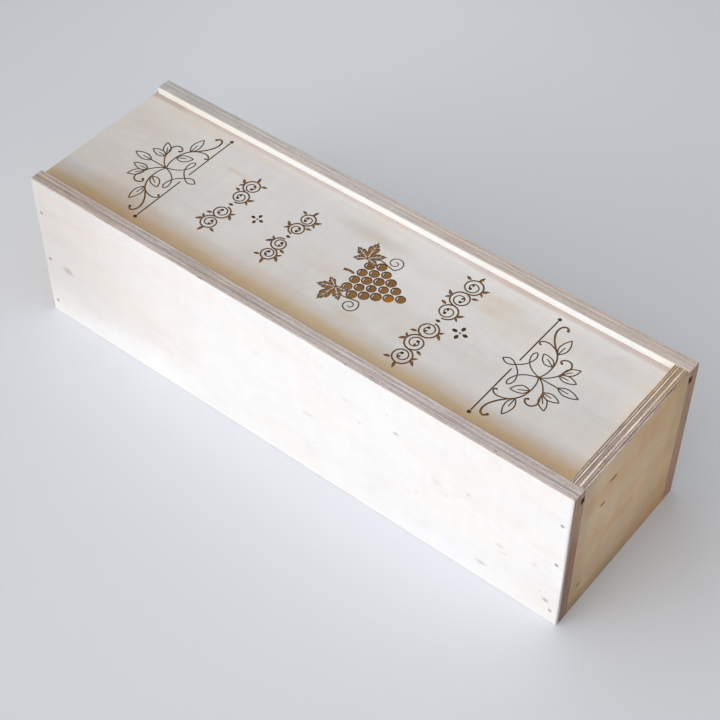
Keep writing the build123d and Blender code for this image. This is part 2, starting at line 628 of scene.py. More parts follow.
@dataclass(frozen=True)
class TintRegion:
    """A region of a board that is tinted, with soft sides, for the wood's own colour and for painted shade
    and light alike. A side that is left out lies past the board.

    Attributes:
        tint: what the wood's colour is multiplied by.
        along: from where to where it reaches along the grain, in millimetres.
        across: the same across the grain.
        depth: the same in depth.
        fade: how far inside its sides the tint has its full strength, along, across and in depth.
        wander: how far the sides wander.
    """

    tint: Colour
    along: tuple[float, float] = (-FAR, FAR)
    across: tuple[float, float] = (-FAR, FAR)
    depth: tuple[float, float] = (-FAR, FAR)
    fade: Triple = (1.0, 1.0, 1.0)
    wander: float = 0.0

    def corner(self, end: int) -> tuple[float, ...]:
        """The region's lowest corner, for 0, or its highest, for 1."""
        return tuple(reach[end] for reach in (self.along, self.across, self.depth))


@dataclass(frozen=True)
class Plywood:
    """A bare, sanded birch plywood finish for one kind of board.

    Attributes:
        name: the material's name.
        grain: how the board lies.
        face_at: where the board's outer face lies along its thickness, in millimetres.
        layup: its plies.
        seed: shifts the pattern, so that no two boards look alike.
        pale: the main colour of its faces.
        warm: the warmer clouds.
        grey: the cooler clouds.
        fleck: pores and short dashes.
        long_edge: a cut edge where a ply's grain runs along it.
        end_edge: a cut edge that shows end grain.
        butt: what an edge sawn across the face grain is multiplied by.
        glue: the glue lines between plies.
        void: the gaps in the inner plies.
        figure: how strong the growth figure is.
        flecks: how strong the pores are.
        contrast: how strong the grain and the clouds are, 1 for a plain face.
        waviness: how far the plies wander, in millimetres.
        roughness: how matt the wood is.
        gloss: how strong its sheen is.
        relief: how strongly its grain stands out.
        marks: streaks, knots and clouds on the face, at places of their own.
        edge_marks: the same on the cut edges.
        tint_regions: tinted regions, the wood's own tints and painted shade and light alike.
    """

    name: str
    grain: Grain
    face_at: float
    layup: Layup
    seed: Triple
    pale: Colour
    warm: Colour
    grey: Colour
    fleck: Colour = srgb(150, 112, 84)
    long_edge: Colour = srgb(222, 211, 206)
    end_edge: Colour = srgb(209, 195, 189)
    butt: Colour = (0.90, 0.74, 0.68)
    glue: Colour = srgb(118, 98, 90)
    void: Colour = srgb(62, 44, 36)
    figure: float = 0.35
    flecks: float = 0.6
    contrast: float = 1.0
    waviness: float = 0.30
    roughness: float = 0.62
    gloss: float = 0.28
    relief: float = 0.55
    marks: tuple[Mark, ...] = ()
    edge_marks: tuple[Mark, ...] = ()
    tint_regions: tuple[TintRegion, ...] = ()

    def settings(self, labels: str) -> dict[str, object]:
        """The finish's own values for a group's sockets, whose names are parted by spaces."""
        return {label: getattr(self, label.lower()) for label in labels.split()}

    def surface(self, w: Wiring, groups: WoodGroups) -> tuple[Socket, Socket]:
        """Wires the plywood's colour and height.

        Args:
            w: the material's wiring.
            groups: the shared wood effects.

        Returns:
            The colour, and the height in millimetres.
        """
        along, across, through = self.grain.value
        place, facing = w.surface_point()
        depth = w.math("ABSOLUTE", w.math("SUBTRACT", w.dot(place, through), self.face_at))
        position = w.join(w.dot(place, along), w.dot(place, across), depth)
        normal = w.join(*(w.dot(facing, axis) for axis in self.grain.value))

        at = {"Position": position}
        face = w.group(groups.veneer, at | self.settings("Seed Pale Warm Grey Fleck Figure Flecks Contrast"))
        edge = w.group(groups.edges[self.layup.name], at | {"Normal": normal} | self.settings(
            "Seed Long_edge End_edge Butt Glue Void Waviness"))
        face_colour = self.spotted(w, groups, position, face.outputs["Color"], self.marks)
        edge_colour = self.spotted(w, groups, position, edge.outputs["Color"], self.edge_marks)
        on_face = w.rise(w.math("ABSOLUTE", w.dot(facing, through)), 0.74, 0.94)
        colour = w.mix(on_face, edge_colour, face_colour)
        height = w.add("ShaderNodeMix", {
            0: on_face,
            NUMBER_A: edge.outputs["Height"],
            NUMBER_B: face.outputs["Height"],
        })
        # The tints, some of them painted shade and light, multiply the colour
        for tint_region in self.tint_regions:
            region = w.group(groups.region, at | {
                "Low": tint_region.corner(0),
                "High": tint_region.corner(1),
                "Fade": tint_region.fade,
                "Wander": tint_region.wander,
            })
            colour = w.mix(region.outputs["Mask"], colour, tint_region.tint, "MULTIPLY")
        return colour, height.outputs[NUMBER_RESULT]

    @staticmethod
    def spotted(w: Wiring, groups: WoodGroups, position: Socket, colour: Socket,
                marks: tuple[Mark, ...]) -> Socket:
        """Adds marks to a colour.

        Args:
            w: the material's wiring.
            groups: the shared wood effects.
            position: the place in the board.
            colour: the wood's colour.
            marks: what is added.

        Returns:
            The colour with the marks.
        """
        for mark in marks:
            spot = w.group(groups.mark, {
                "Position": position,
                "Centre": (mark.along, mark.across, mark.depth),
                "Reach": (mark.length, mark.width, mark.deep),
                "Core": mark.core,
                "Strength": mark.strength,
            })
            colour = w.mix(spot.outputs["Mask"], colour, mark.colour)
        return colour

    def material(self, groups: WoodGroups) -> bpy.types.Material:
        """Makes the finish's material.

        Args:
            groups: the shared wood effects.

        Returns:
            The material.
        """
        sheen = {"Roughness": self.roughness, "Specular IOR Level": self.gloss}
        made, w, shader = new_material(self.name, sheen)
        colour, height = self.surface(w, groups)
        w.feed(shader.inputs["Base Color"], colour)
        w.relief(shader, height, self.relief)
        return made


@dataclass(frozen=True)
class Burn:
    """Wood burnt by the engraver, in one depth of brown.

    Attributes:
        name: the material's name.
        brown: its main colour.
        dark: the places that are burnt more.
        amber: the places that are burnt less.
        roughness: how matt it is.
        gloss: how strong its sheen is.
        relief: how strongly its grain stands out.
    """

    name: str
    brown: Colour
    dark: Colour
    amber: Colour
    roughness: float = 0.7
    gloss: float = 0.25
    relief: float = 0.6

    def material(self, groups: WoodGroups) -> bpy.types.Material:
        """Makes the burnt wood's material.

        Args:
            groups: the shared wood effects.

        Returns:
            The material.
        """
        sheen = {"Roughness": self.roughness, "Specular IOR Level": self.gloss}
        made, w, shader = new_material(self.name, sheen)
        place, _ = w.surface_point()
        colours = {"Brown": self.brown, "Dark": self.dark, "Amber": self.amber}
        burn = w.group(groups.burn, {"Position": place} | colours)
        w.feed(shader.inputs["Base Color"], burn.outputs["Color"])
        w.relief(shader, burn.outputs["Height"], self.relief)
        return made


BURN_EDGE = Burn("burnt_edge", srgb(86, 60, 24), srgb(60, 42, 20), srgb(128, 80, 18))
BURN_FLOOR = Burn("burnt_floor", srgb(152, 110, 64), srgb(120, 82, 46), srgb(190, 118, 26))


@dataclass(frozen=True)
class BradSteel:
    """Plain steel of the brads, dulled and a little marked by the hammer.

    Attributes:
        name: the material's name.
        light: its brighter places.
        dark: its duller places.
        metal: how much of its look is a metal's.
        relief: how strongly its dents stand out.
    """

    name: str = "brad_steel"
    light: Colour = srgb(238, 237, 239)
    dark: Colour = srgb(210, 207, 209)
    metal: float = 0.4
    relief: float = 0.3

    def material(self) -> bpy.types.Material:
        """Makes the steel's material.

        Returns:
            The material.
        """
        made, w, shader = new_material(self.name, {"Metallic": self.metal})
        place, _ = w.surface_point()
        dull = w.noise(place, (1.6, 1.6, 1.6), 3.0, 0.6)
        w.feed(shader.inputs["Base Color"], w.mix(w.rise(dull, 0.35, 0.65), self.dark, self.light))
        w.feed(shader.inputs["Roughness"], w.rise(dull, 0.3, 0.7, 0.60, 0.45))
        w.relief(shader, w.times(dull, 0.1), self.relief)
        return made


def polar(centre: Point, reach: float, angle: float) -> Point:
    """The point at some distance and angle from another, the angle in radians."""
    return centre[0] + reach * math.cos(angle), centre[1] + reach * math.sin(angle)


def beside(base: Point, tip: Point, share: float, offset: float = 0.0) -> Point:
    """A point part of the way from one point to another, moved off to the left.

    Args:
        base: where the way starts.
        tip: where it ends.
        share: how much of the way is gone, 0 to 1.
        offset: how far the point lies off the way.

    Returns:
        The point.
    """
    du, dv = tip[0] - base[0], tip[1] - base[1]
    length = math.hypot(du, dv)
    return base[0] + du * share - dv / length * offset, base[1] + dv * share + du / length * offset


def curve_through(points: list[Point], steps: int = 6) -> list[Point]:
    """A smooth curve through a few points, as a run of short straight pieces.

    Args:
        points: what the curve passes through.
        steps: pieces between one point and the next.

    Returns:
        The points of the run.
    """
    def bend(a: float, b: float, c: float, d: float, t: float) -> float:
        """Finds one coordinate of a place on the curve.

        Args:
            a: the coordinate of the point before the piece.
            b: that of the point where it starts.
            c: that of the point where it ends.
            d: that of the point after it.
            t: how much of the piece is gone, 0 to 1.

        Returns:
            The coordinate.
        """
        square = (2 * a - 5 * b + 4 * c - d) * t ** 2
        cube = (3 * b - a - 3 * c + d) * t ** 3
        return 0.5 * (2 * b + (c - a) * t + square + cube)

    if len(points) == 2:
        return list(points)
    ends = [points[0], *points, points[-1]]
    run: list[Point] = []
    for four in zip(ends, ends[1:], ends[2:], ends[3:]):
        for step in range(steps):
            run.append(tuple(bend(*values, step / steps) for values in zip(*four)))
    return [*run, points[-1]]


def disc(centre: Point, radius: float, sides: int = 18) -> list[Point]:
    """The outline of a round dot, anticlockwise."""
    return [polar(centre, radius, 2 * math.pi / sides * k) for k in range(sides)]


def stroke(run: list[Point], widths: list[float], chunk: int = 5) -> list[list[Point]]:
    """Outlines of a line of changing width, in short overlapping pieces, none of which crosses itself.

    Args:
        run: the middle of the line.
        widths: the line's full width at each point of it.
        chunk: how many steps of the line one outline covers.

    Returns:
        The outlines.
    """
    left: list[Point] = []
    right: list[Point] = []
    for k, (x, y) in enumerate(run):
        x0, y0 = run[max(k - 1, 0)]
        x1, y1 = run[min(k + 1, len(run) - 1)]
        length = math.hypot(x1 - x0, y1 - y0) or 1.0
        nx = (y0 - y1) / length * widths[k] / 2
        ny = (x1 - x0) / length * widths[k] / 2
        left.append((x + nx, y + ny))
        right.append((x - nx, y - ny))
    outlines = []
    for first in range(0, len(run) - 1, chunk):
        last = min(first + chunk, len(run) - 1)
        outlines.append(right[first:last + 1] + left[first:last + 1][::-1])
    return outlines


class Layer(Enum):
    """What an outline of the engraving stands for."""

    CUT = "cut"
    CORE = "the lighter floor inside a wide cut"
    KEEP = "bare wood left inside a cut"


@dataclass
class Pattern:
    """Outlines to be engraved and outlines to be kept, in the plane of the lid's top.

    u runs along the box away from the pattern's base line and v across it.

    Attributes:
        origin: where the pattern's own zero lies on the lid, along and across, in millimetres.
        direction: 1 where u runs along +X, and -1 where it runs along -X.
        mirrored: whether what is drawn next is also drawn on the other side of the middle line.
        outlines: the closed outlines of each layer, on the lid.
    """

    # How wide the darker rim round a lighter floor is, and the least line, dot and petal that have a floor
    RIM = 0.26
    LEAST_LINE = RIM * 2.6
    LEAST_DOT = RIM * 6
    LEAST_PETAL = 0.12
    POINT_SHRINK = 1.8

    origin: Point
    direction: float = 1.0
    mirrored: bool = False
    outlines: dict[Layer, list[list[Point]]] = field(default_factory=lambda: {layer: [] for layer in Layer})

    def place(self, outline: list[Point]) -> list[Point]:
        """Moves an outline from the pattern's own plane to the lid's, anticlockwise."""
        placed = [(self.origin[0] + self.direction * u, self.origin[1] + v) for u, v in outline]
        return placed if area_of(placed) > 0 else placed[::-1]

    def add(self, outlines: list[list[Point]], layer: Layer = Layer.CUT) -> None:
        """Adds outlines.

        Args:
            outlines: closed outlines in the pattern's own plane.
            layer: what the outlines do to the wood.
        """
        for outline in outlines:
            self.outlines[layer].append(self.place(outline))
            if self.mirrored:
                self.outlines[layer].append(self.place([(u, -v) for u, v in outline]))

    def line(self, points: list[Point], width: float, end_width: float | None = None, swell: float = 0.0,
             steps: int = 6, layer: Layer = Layer.CUT) -> None:
        """Draws a smooth line, with a lighter floor where it is wide enough.

        Args:
            points: what it passes through.
            width: its width at the start, and all along unless an end width is given.
            end_width: its width at the end.
            swell: how much wider it is in the middle.
            steps: straight pieces between two points.
            layer: what the line does to the wood.
        """
        run = curve_through(points, steps)
        last = len(run) - 1
        change = 0.0 if end_width is None else end_width - width
        widths = [width + change * k / last + swell * math.sin(math.pi * k / last) for k in range(last + 1)]
        self.add(stroke(run, widths), layer)
        wide = [k for k, full in enumerate(widths) if full > self.LEAST_LINE]
        if layer is Layer.CUT and len(wide) > 2:
            inner = slice(wide[0], wide[-1] + 1)
            self.add(stroke(run[inner], [full - 2 * self.RIM for full in widths[inner]]), Layer.CORE)

    def dot(self, centre: Point, radius: float) -> None:
        """Draws a round dot, with a lighter floor where it is large enough."""
        self.add([disc(centre, radius)])
        if radius > self.LEAST_DOT:
            self.add([disc(centre, radius - self.RIM)], Layer.CORE)

    def petal(self, base: Point, tip: Point, width: float) -> None:
        """Draws a filled leaf, pointed at both ends, with a lighter floor where it is wide enough.

        Args:
            base: where it starts.
            tip: where it ends.
            width: its full width at its widest.
        """
        for inset, layer in ((0.0, Layer.CUT), (self.RIM, Layer.CORE)):
            half = width / 2 - inset
            if half < self.LEAST_PETAL:
                continue
            start = inset * self.POINT_SHRINK / math.dist(base, tip)
            reach = 1 - 2 * start
            right, left = [], []
            for t, share in ((0.0, 0.0), (0.18, 0.66), (0.42, 1.0), (0.68, 0.74), (0.87, 0.32)):
                right.append(beside(base, tip, start + reach * t, -half * share))
                left.append(beside(base, tip, start + reach * t, half * share))
            self.add([[*right, beside(base, tip, start + reach), *left[:0:-1]]], layer)

    def leaf(self, base: Point, tip: Point, bulge: tuple[float, float], width: float, rib: float) -> None:
        """Draws an open leaf: two bowed edges that meet at the tip, and a midrib.

        Args:
            base: where the leaf starts.
            tip: where it ends.
            bulge: how far its left and its right edge bow out.
            width: the lines' width.
            rib: how far up the leaf the midrib reaches, 0 to 1.
        """
        bow = ((0.0, 0.0), (0.14, 0.55), (0.38, 1.0), (0.68, 0.80), (0.88, 0.36), (1.0, 0.0))
        for reach in (bulge[0], -bulge[1]):
            self.line([beside(base, tip, t, reach * share) for t, share in bow], width, steps=4)
        self.line([base, beside(base, tip, rib)], width, width * 0.75)


def area_of(outline: list[Point]) -> float:
    """Twice the area inside an outline, positive where it runs anticlockwise."""
    return sum(x0 * y1 - x1 * y0 for (x0, y0), (x1, y1) in zip(outline, outline[1:] + outline[:1]))


@dataclass
class ScrollOrnament:
    """A leafy scroll that stands on a straight line with dots at its ends.

    Attributes:
        origin: the middle of the base line on the lid.
        direction: which way the leaves point along the box.
        line_width: the width of the stems and of the leaves' edges.
    """

    origin: Point
    direction: float
    line_width: float = 0.72

    def pattern(self) -> Pattern:
        """Draws the ornament.

        Returns:
            The pattern on the lid.
        """
        made = Pattern(self.origin, self.direction, mirrored=True)
        thin = self.line_width
        heart = (13.9, 0.0)

        made.line([(0.0, 3.5), (0.0, 38.2)], thin * 1.1)
        made.dot((0.0, 39.6), 1.15)

        made.line([heart, (9.4, 1.7), (6.3, 3.8), (4.4, 6.0), (3.1, 9.0), (2.9, 11.6), (3.9, 13.2),
                   (5.3, 12.0), (5.8, 9.4), (5.1, 6.3), (3.6, 3.4), (0.3, 0.2), (-2.6, -1.6), (-5.2, -1.8),
                   (-7.8, 0.0)], thin)
        made.mirrored = False
        made.dot(heart, 0.75)
        made.mirrored = True

        made.line([heart, (15.3, 3.4), (15.8, 7.6), (15.6, 11.6), (14.6, 15.2), (12.7, 18.5), (9.9, 21.3),
                   (6.6, 25.1), (4.2, 29.4), (3.5, 33.0), (4.2, 35.9), (5.9, 37.1), (7.4, 36.5), (8.0, 35.3)],
                  thin, thin * 1.7)
        made.dot((8.0, 35.4), 0.85)
        made.line([(10.7, 20.5), (8.0, 21.8), (5.0, 22.5), (2.6, 22.1), (1.2, 21.0), (1.0, 19.8),
                   (1.8, 19.2)], thin, thin * 1.3)
        made.dot((2.0, 19.2), 0.65)
        made.leaf((12.8, 18.6), (13.3, 31.0), (2.4, 2.5), thin, 0.52)
        made.leaf((15.6, 10.0), (7.0, 14.9), (3.0, 2.2), thin, 0.62)

        made.line([heart, (16.6, 1.4), (19.2, 4.0), (21.3, 7.2), (22.1, 10.6), (23.2, 13.4), (23.1, 16.0),
                   (21.6, 17.9), (19.6, 18.3), (17.7, 17.5), (16.8, 15.9), (17.6, 14.8)], thin, thin * 1.4)
        made.dot((17.8, 14.9), 0.75)
        made.leaf((22.0, 8.9), (28.2, 16.7), (2.2, 2.2), thin, 0.55)
        made.leaf((21.3, 7.2), (31.3, 7.8), (2.3, 2.2), thin, 0.55)

        made.mirrored = False
        made.line([heart, (25.4, 0.0)], thin)
        made.leaf((25.3, 0.0), (37.4, 0.0), (2.4, 2.4), thin, 0.52)
        return made


@dataclass
class GrapeBunch:
    """A bunch of grapes between two vine leaves, burnt all over, with bare highlights and veins.

    Attributes:
        origin: the middle of the bunch's top row on the lid.
        berry: the radius of a berry.
        gap: the bare wood between berries.
        rows: how many berries each row has, from the stalk to the tip.
    """

    origin: Point
    berry: float = 3.0
    gap: float = 0.42
    rows: tuple[int, ...] = (4, 5, 4, 3, 2, 1)

    def pattern(self) -> Pattern:
        """Draws the bunch.

        Returns:
            The pattern on the lid.
        """
        made = Pattern(self.origin)
        pitch = 2 * self.berry + self.gap
        for row, count in enumerate(self.rows):
            for place in range(count):
                centre = (row * pitch * 0.87, (place - (count - 1) / 2) * pitch)
                radius = self.berry * (1.0 + 0.05 * math.sin(7.0 * row + 3.0 * place))
                made.add([disc(centre, radius, 28)])
                made.add([disc(centre, radius - 0.4, 24)], Layer.CORE)
                # A thin crescent near the berry's upper edge stays bare
                shine = [polar(centre, 0.62 * radius, math.radians(turn)) for turn in range(150, 235, 14)]
                made.line(shine, 0.1, swell=0.45, steps=1, layer=Layer.KEEP)
        made.line([(-3.0, 0.0), (-6.0, 0.4), (-9.5, -0.5)], 1.3, 1.9)
        made.line([(-7.6, -0.8), (-8.0, 0.0), (-7.6, 0.8)], 1.0)
        for side in (-1.0, 1.0):
            self.vine_leaf(made, (-4.6, side * 13.6), side)
            self.tendril(made, side)
        return made

    @staticmethod
    def vine_leaf(made: Pattern, centre: Point, side: float) -> None:
        """Draws a vine leaf: five pointed, toothed lobes round the stalk, with bare veins.

        Args:
            made: the pattern to draw in.
            centre: where the leaf's stalk meets it.
            side: 1 on the back half of the lid, -1 on the front half.
        """
        lobes = ((-112.0, 8.2), (-58.0, 10.6), (0.0, 13.4), (58.0, 10.6), (112.0, 8.2))
        half_lobe = ((0.0, 1.0), (4.5, 0.84), (7.0, 0.86), (13.5, 0.70), (17.0, 0.72), (24.0, 0.60))
        lobe = [(-offset, share) for offset, share in half_lobe[:0:-1]] + list(half_lobe)
        heading = 100.0

        def at(turn: float, reach: float) -> Point:
            """A point of the leaf, from its own turn and distance."""
            u, v = polar((0.0, 0.0), reach, math.radians(heading + turn))
            return centre[0] + u, centre[1] + side * v

        for shrink, layer in ((0.0, Layer.CUT), (0.42, Layer.CORE)):
            outline = [at(-150.0, 1.4 - shrink)]
            for number, (turn, reach) in enumerate(lobes):
                outline += [at(turn + offset, reach * share - shrink) for offset, share in lobe]
                if number < len(lobes) - 1:
                    next_turn, next_reach = lobes[number + 1]
                    notch = 0.40 * (reach + next_reach) / 2 - shrink * 0.8
                    outline.append(at((turn + next_turn) / 2, notch))
            made.add([[*outline, at(150.0, 1.4 - shrink)]], layer)
        for turn, reach in lobes:
            made.line([at(turn, 0.8), at(turn, 0.80 * reach)], 0.55, 0.16, layer=Layer.KEEP)
            for share in (0.36, 0.58):
                for lean in (-13.0, 13.0):
                    twig = at(turn + lean, (share + 0.20) * reach)
                    made.line([at(turn, share * reach), twig], 0.28, 0.12, layer=Layer.KEEP)

    @staticmethod
    def tendril(made: Pattern, side: float) -> None:
        """Draws a curling tendril that winds down beside the bunch.

        Args:
            made: the pattern to draw in.
            side: 1 on the back half of the lid, -1 on the front half.
        """
        run = [(2.2, side * 16.6), (5.2, side * 16.2)]
        last = 25
        for k in range(last + 1):
            u, v = polar((9.6, 19.6), 4.4 * (1 - k / last) + 0.7, math.radians(-70 + 560 * (k / last)))
            run.append((u, side * v))
        made.line(run, 0.75, 0.55, steps=2)


@dataclass
class VineScroll:
    """A running vine, the old border ornament: a waving stem with a curl in every bend.

    Attributes:
        origin: the middle of the row on the lid.
        curls: how many curls stand on each side of the middle.
        radius: the radius of a bend.
        stem: the width of the stem.
        bend: which way the first bend stands, 1 or -1.
    """

    origin: Point
    curls: int
    radius: float
    stem: float = 0.95
    bend: float = 1.0

    def pattern(self) -> Pattern:
        """Draws the row.

        Returns:
            The pattern on the lid.
        """
        made = Pattern(self.origin)
        start = 2.6
        made.add([[(-1.7, 0.0), (0.0, -1.1), (1.7, 0.0), (0.0, 1.1)]])
        made.mirrored = True
        for number in range(self.curls):
            bend = self.bend * (-1) ** number
            self.curl(made, start + self.radius * (2 * number + 1), bend)
        tip = start + self.radius * 2 * self.curls
        made.petal((0.0, tip - 0.4), (bend * 1.2, tip + 4.2), 1.9)
        return made

    def curl(self, made: Pattern, centre: float, bend: float) -> None:
        """Draws one bend of the stem, the curl inside it and its leaves.

        Args:
            made: the pattern to draw in.
            centre: the bend's middle across the lid.
            bend: which way the stem stands out, 1 or -1.
        """
        radius = self.radius
        wave_steps, spiral_steps, fork = 8, 16, 12
        wave = []
        for k in range(wave_steps + 1):
            angle = math.pi * k / wave_steps
            wave.append((bend * radius * math.sin(angle), centre - radius * math.cos(angle)))
        made.line(wave, self.stem, steps=2)
        spiral = []
        for k in range(spiral_steps + 1):
            share = k / spiral_steps
            angle = 1.42 * 2 * math.pi * share
            reach = radius * (1 - 0.70 * share ** 0.85)
            spiral.append((-bend * reach * math.sin(angle), centre + reach * math.cos(angle)))
        made.line(spiral, self.stem, self.stem * 0.62, steps=2)
        made.dot(spiral[-1], 0.95)
        u, v = spiral[fork]
        made.petal((u, v), (u * 0.35, centre + (v - centre) * 0.1), 1.5)
        root = (bend * radius * 0.96, centre - 0.6)
        made.petal(root, (bend * (radius + 3.4), centre + 2.8), 2.0)
        made.petal(root, (bend * (radius + 2.4), centre - 3.2), 1.5)
        inner = (-bend * radius * 0.72, centre + radius * 0.72)
        made.petal(inner, (-bend * (radius + 2.2), centre + radius * 0.95), 1.9)


@dataclass
class Floret:
    """Four small petals round a dot.

    Attributes:
        origin: the floret's middle on the lid.
        reach: the length of a petal.
    """

    origin: Point
    reach: float = 4.2

    def pattern(self) -> Pattern:
        """Draws the floret.

        Returns:
            The pattern on the lid.
        """
        made = Pattern(self.origin)
        made.dot((0.0, 0.0), 0.6)
        half = ((0.28, 0.0), (0.45, 0.16), (0.66, 0.24), (0.86, 0.15), (1.0, 0.0))
        whole = [*half, *((t, -width) for t, width in half[-2:0:-1])]
        for quarter in range(4):
            tip = polar((0.0, 0.0), self.reach, quarter * math.pi / 2)
            made.add([[beside((0.0, 0.0), tip, t, width * self.reach) for t, width in whole]])
        return made


def put(name: str, data: bpy.types.ID) -> bpy.types.Object:
    """Makes an object and puts it in the scene.

    Args:
        name: the object's name.
        data: its mesh, lamp or camera.

    Returns:
        The object.
    """
    made = bpy.data.objects.new(name, data)
    bpy.context.scene.collection.objects.link(made)
    return made


def mesh_object(name: str, vertices: list, faces: list) -> bpy.types.Object:
    """Makes an object of a mesh given in millimetres.

    Args:
        name: the object's name.
        vertices: corners, in millimetres.
        faces: tuples of vertex numbers.

    Returns:
        The object, linked to the scene.
    """
    mesh = bpy.data.meshes.new(name)
    mesh.from_pydata([Vector(v) * MM for v in vertices], [], faces)
    return put(name, mesh)


def face_outwards(mesh: bpy.types.Mesh) -> None:
    """Joins the corners of a closed mesh that lie in one place, and turns its faces outwards.

    Args:
        mesh: the mesh, changed in place.
    """
    work = bmesh.new()
    work.from_mesh(mesh)
    bmesh.ops.remove_doubles(work, verts=work.verts, dist=SAME_PLACE)
    bmesh.ops.recalc_face_normals(work, faces=work.faces)
    work.to_mesh(mesh)
    work.free()


@dataclass
class EngravedLid:
    """The sliding lid, with its engraving cut into the top.

    Attributes:
        node: the lid's node in the frame.
        body: the body that it moves with.
        arris: the radius of its eased edges.
        arris_steps: how many flat strips stand for the round of an edge.
        cut_depth: how deep the engraving goes.
        middle: where the engraving's own middle line lies across the box.
    """

    # The lid's material slots, and how the triangles of its top are made
    BARE, BURNT_EDGE, BURNT_FLOOR = range(3)
    INSIDE_OUTLINES = 1
    WELD = 1e-5

    node: str = "sliding_lid"
    body: str = "lid"
    arris: float = 0.3
    arris_steps: int = 3
    cut_depth: float = 0.35
    middle: float = 1.1

    def patterns(self) -> list[Pattern]:
        """Draws everything that is engraved, from the open end to the stop end.

        Returns:
            The patterns on the lid.
        """
        middle = self.middle
        drawings = (
            ScrollOrnament((-116.2, middle), -1.0),
            VineScroll((-81.7, middle), 2, 5.0),
            Floret((-62.7, middle)),
            VineScroll((-40.7, middle), 2, 4.6, bend=-1.0),
            GrapeBunch((7.6, middle)),
            VineScroll((59.8, middle), 3, 5.6),
            Floret((73.7, middle), 5.0),
            ScrollOrnament((108.1, middle), 1.0),
        )
        return [drawing.pattern() for drawing in drawings]

    def build(self, groups: WoodGroups, wood: bpy.types.Material) -> bpy.types.Object:
        """Builds the lid and dresses it.

        Args:
            groups: the shared wood effects.
            wood: the plywood material of the lid.

        Returns:
            The lid's object.
        """
        low, high = (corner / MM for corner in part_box(self.node))
        rings = self.rings(low, high)
        patterns = self.patterns()
        cut, core, keep = ([polygon for pattern in patterns for polygon in pattern.outlines[layer]]
                           for layer in Layer)
        points, faces = [], []
        for polygon in [rings[0], *cut, *core, *keep]:
            faces.append(list(range(len(points), len(points) + len(polygon))))
            points += [Vector(point) for point in polygon]
        flat, _, triangles, _, _, sources = delaunay_2d_cdt(
            points, [], faces, self.INSIDE_OUTLINES, self.WELD, True)
        first_core = 1 + len(cut)
        burns = [self.slot_of(found, first_core, first_core + len(core)) for found in sources]

        vertices: list[Triple] = []
        at: dict[tuple[int, bool], int] = {}

        def corner(index: int, sunk: bool) -> int:
            """Finds or makes the vertex at a point of the plane.

            Args:
                index: the number of the point.
                sunk: whether the vertex lies on the engraving's floor and not on the top.

            Returns:
                The number of the vertex.
            """
            if (index, sunk) not in at:
                at[index, sunk] = len(vertices)
                vertices.append((*flat[index], high.z - (self.cut_depth if sunk else 0.0)))
            return at[index, sunk]

        made_faces: list[tuple[int, ...]] = []
        slots = list(burns)
        sides: dict[tuple[int, int], int] = {}
        for burn, triangle in zip(burns, triangles):
            made_faces.append(tuple(corner(index, burn > self.BARE) for index in triangle))
            for a, b in zip(triangle, triangle[1:] + triangle[:1]):
                sides[a, b] = burn
        for (a, b), burn in sides.items():
            if burn == self.BARE and sides.get((b, a), self.BARE) > self.BARE:
                made_faces.append((corner(a, False), corner(a, True), corner(b, True), corner(b, False)))
                slots.append(self.BURNT_EDGE)

        self.close_below(vertices, made_faces, at, flat, rings, (low.z, high.z))
        slots += [self.BARE] * (len(made_faces) - len(slots))
        lid = mesh_object("lid_board", vertices, made_faces)
        for material in (wood, BURN_EDGE.material(groups), BURN_FLOOR.material(groups)):
            lid.data.materials.append(material)
        lid.data.polygons.foreach_set("material_index", slots)
        face_outwards(lid.data)
        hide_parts(self.node)
        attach(lid, self.body)
        return lid

    def slot_of(self, found: list[int], first_core: int, first_keep: int) -> int:
        """Picks the material slot of a piece of the top from the outlines that cover it.

        Args:
            found: the numbers of those outlines.
            first_core: the number of the first outline of a cut's floor.
            first_keep: the number of the first outline of bare wood inside a cut.

        Returns:
            The slot.
        """
        kept = any(number >= first_keep for number in found)
        if kept or not any(0 < number < first_core for number in found):
            return self.BARE
        floor = any(first_core <= number < first_keep for number in found)
        return self.BURNT_FLOOR if floor else self.BURNT_EDGE

    def rings(self, low: Vector, high: Vector) -> list[list[Point]]:
        """Outlines of the lid from its flat top out to its full size, with round corners.

        Args:
            low: the lid's lowest corner, in millimetres.
            high: its highest corner.

        Returns:
            The outlines, anticlockwise. The first has four points, and the others have as many as each other.
        """
        near_x, far_x = low.x + self.arris, high.x - self.arris
        near_y, far_y = low.y + self.arris, high.y - self.arris
        corners = [(far_x, far_y), (near_x, far_y), (near_x, near_y), (far_x, near_y)]
        outlines = [corners]
        for step in range(1, self.arris_steps + 1):
            reach = self.arris * math.sin(math.pi / 2 * step / self.arris_steps)
            outlines.append([
                polar(corner, reach, math.radians(90.0 * quarter + 90.0 * part / self.arris_steps))
                for quarter, corner in enumerate(corners)
                for part in range(self.arris_steps + 1)
            ])
        return outlines

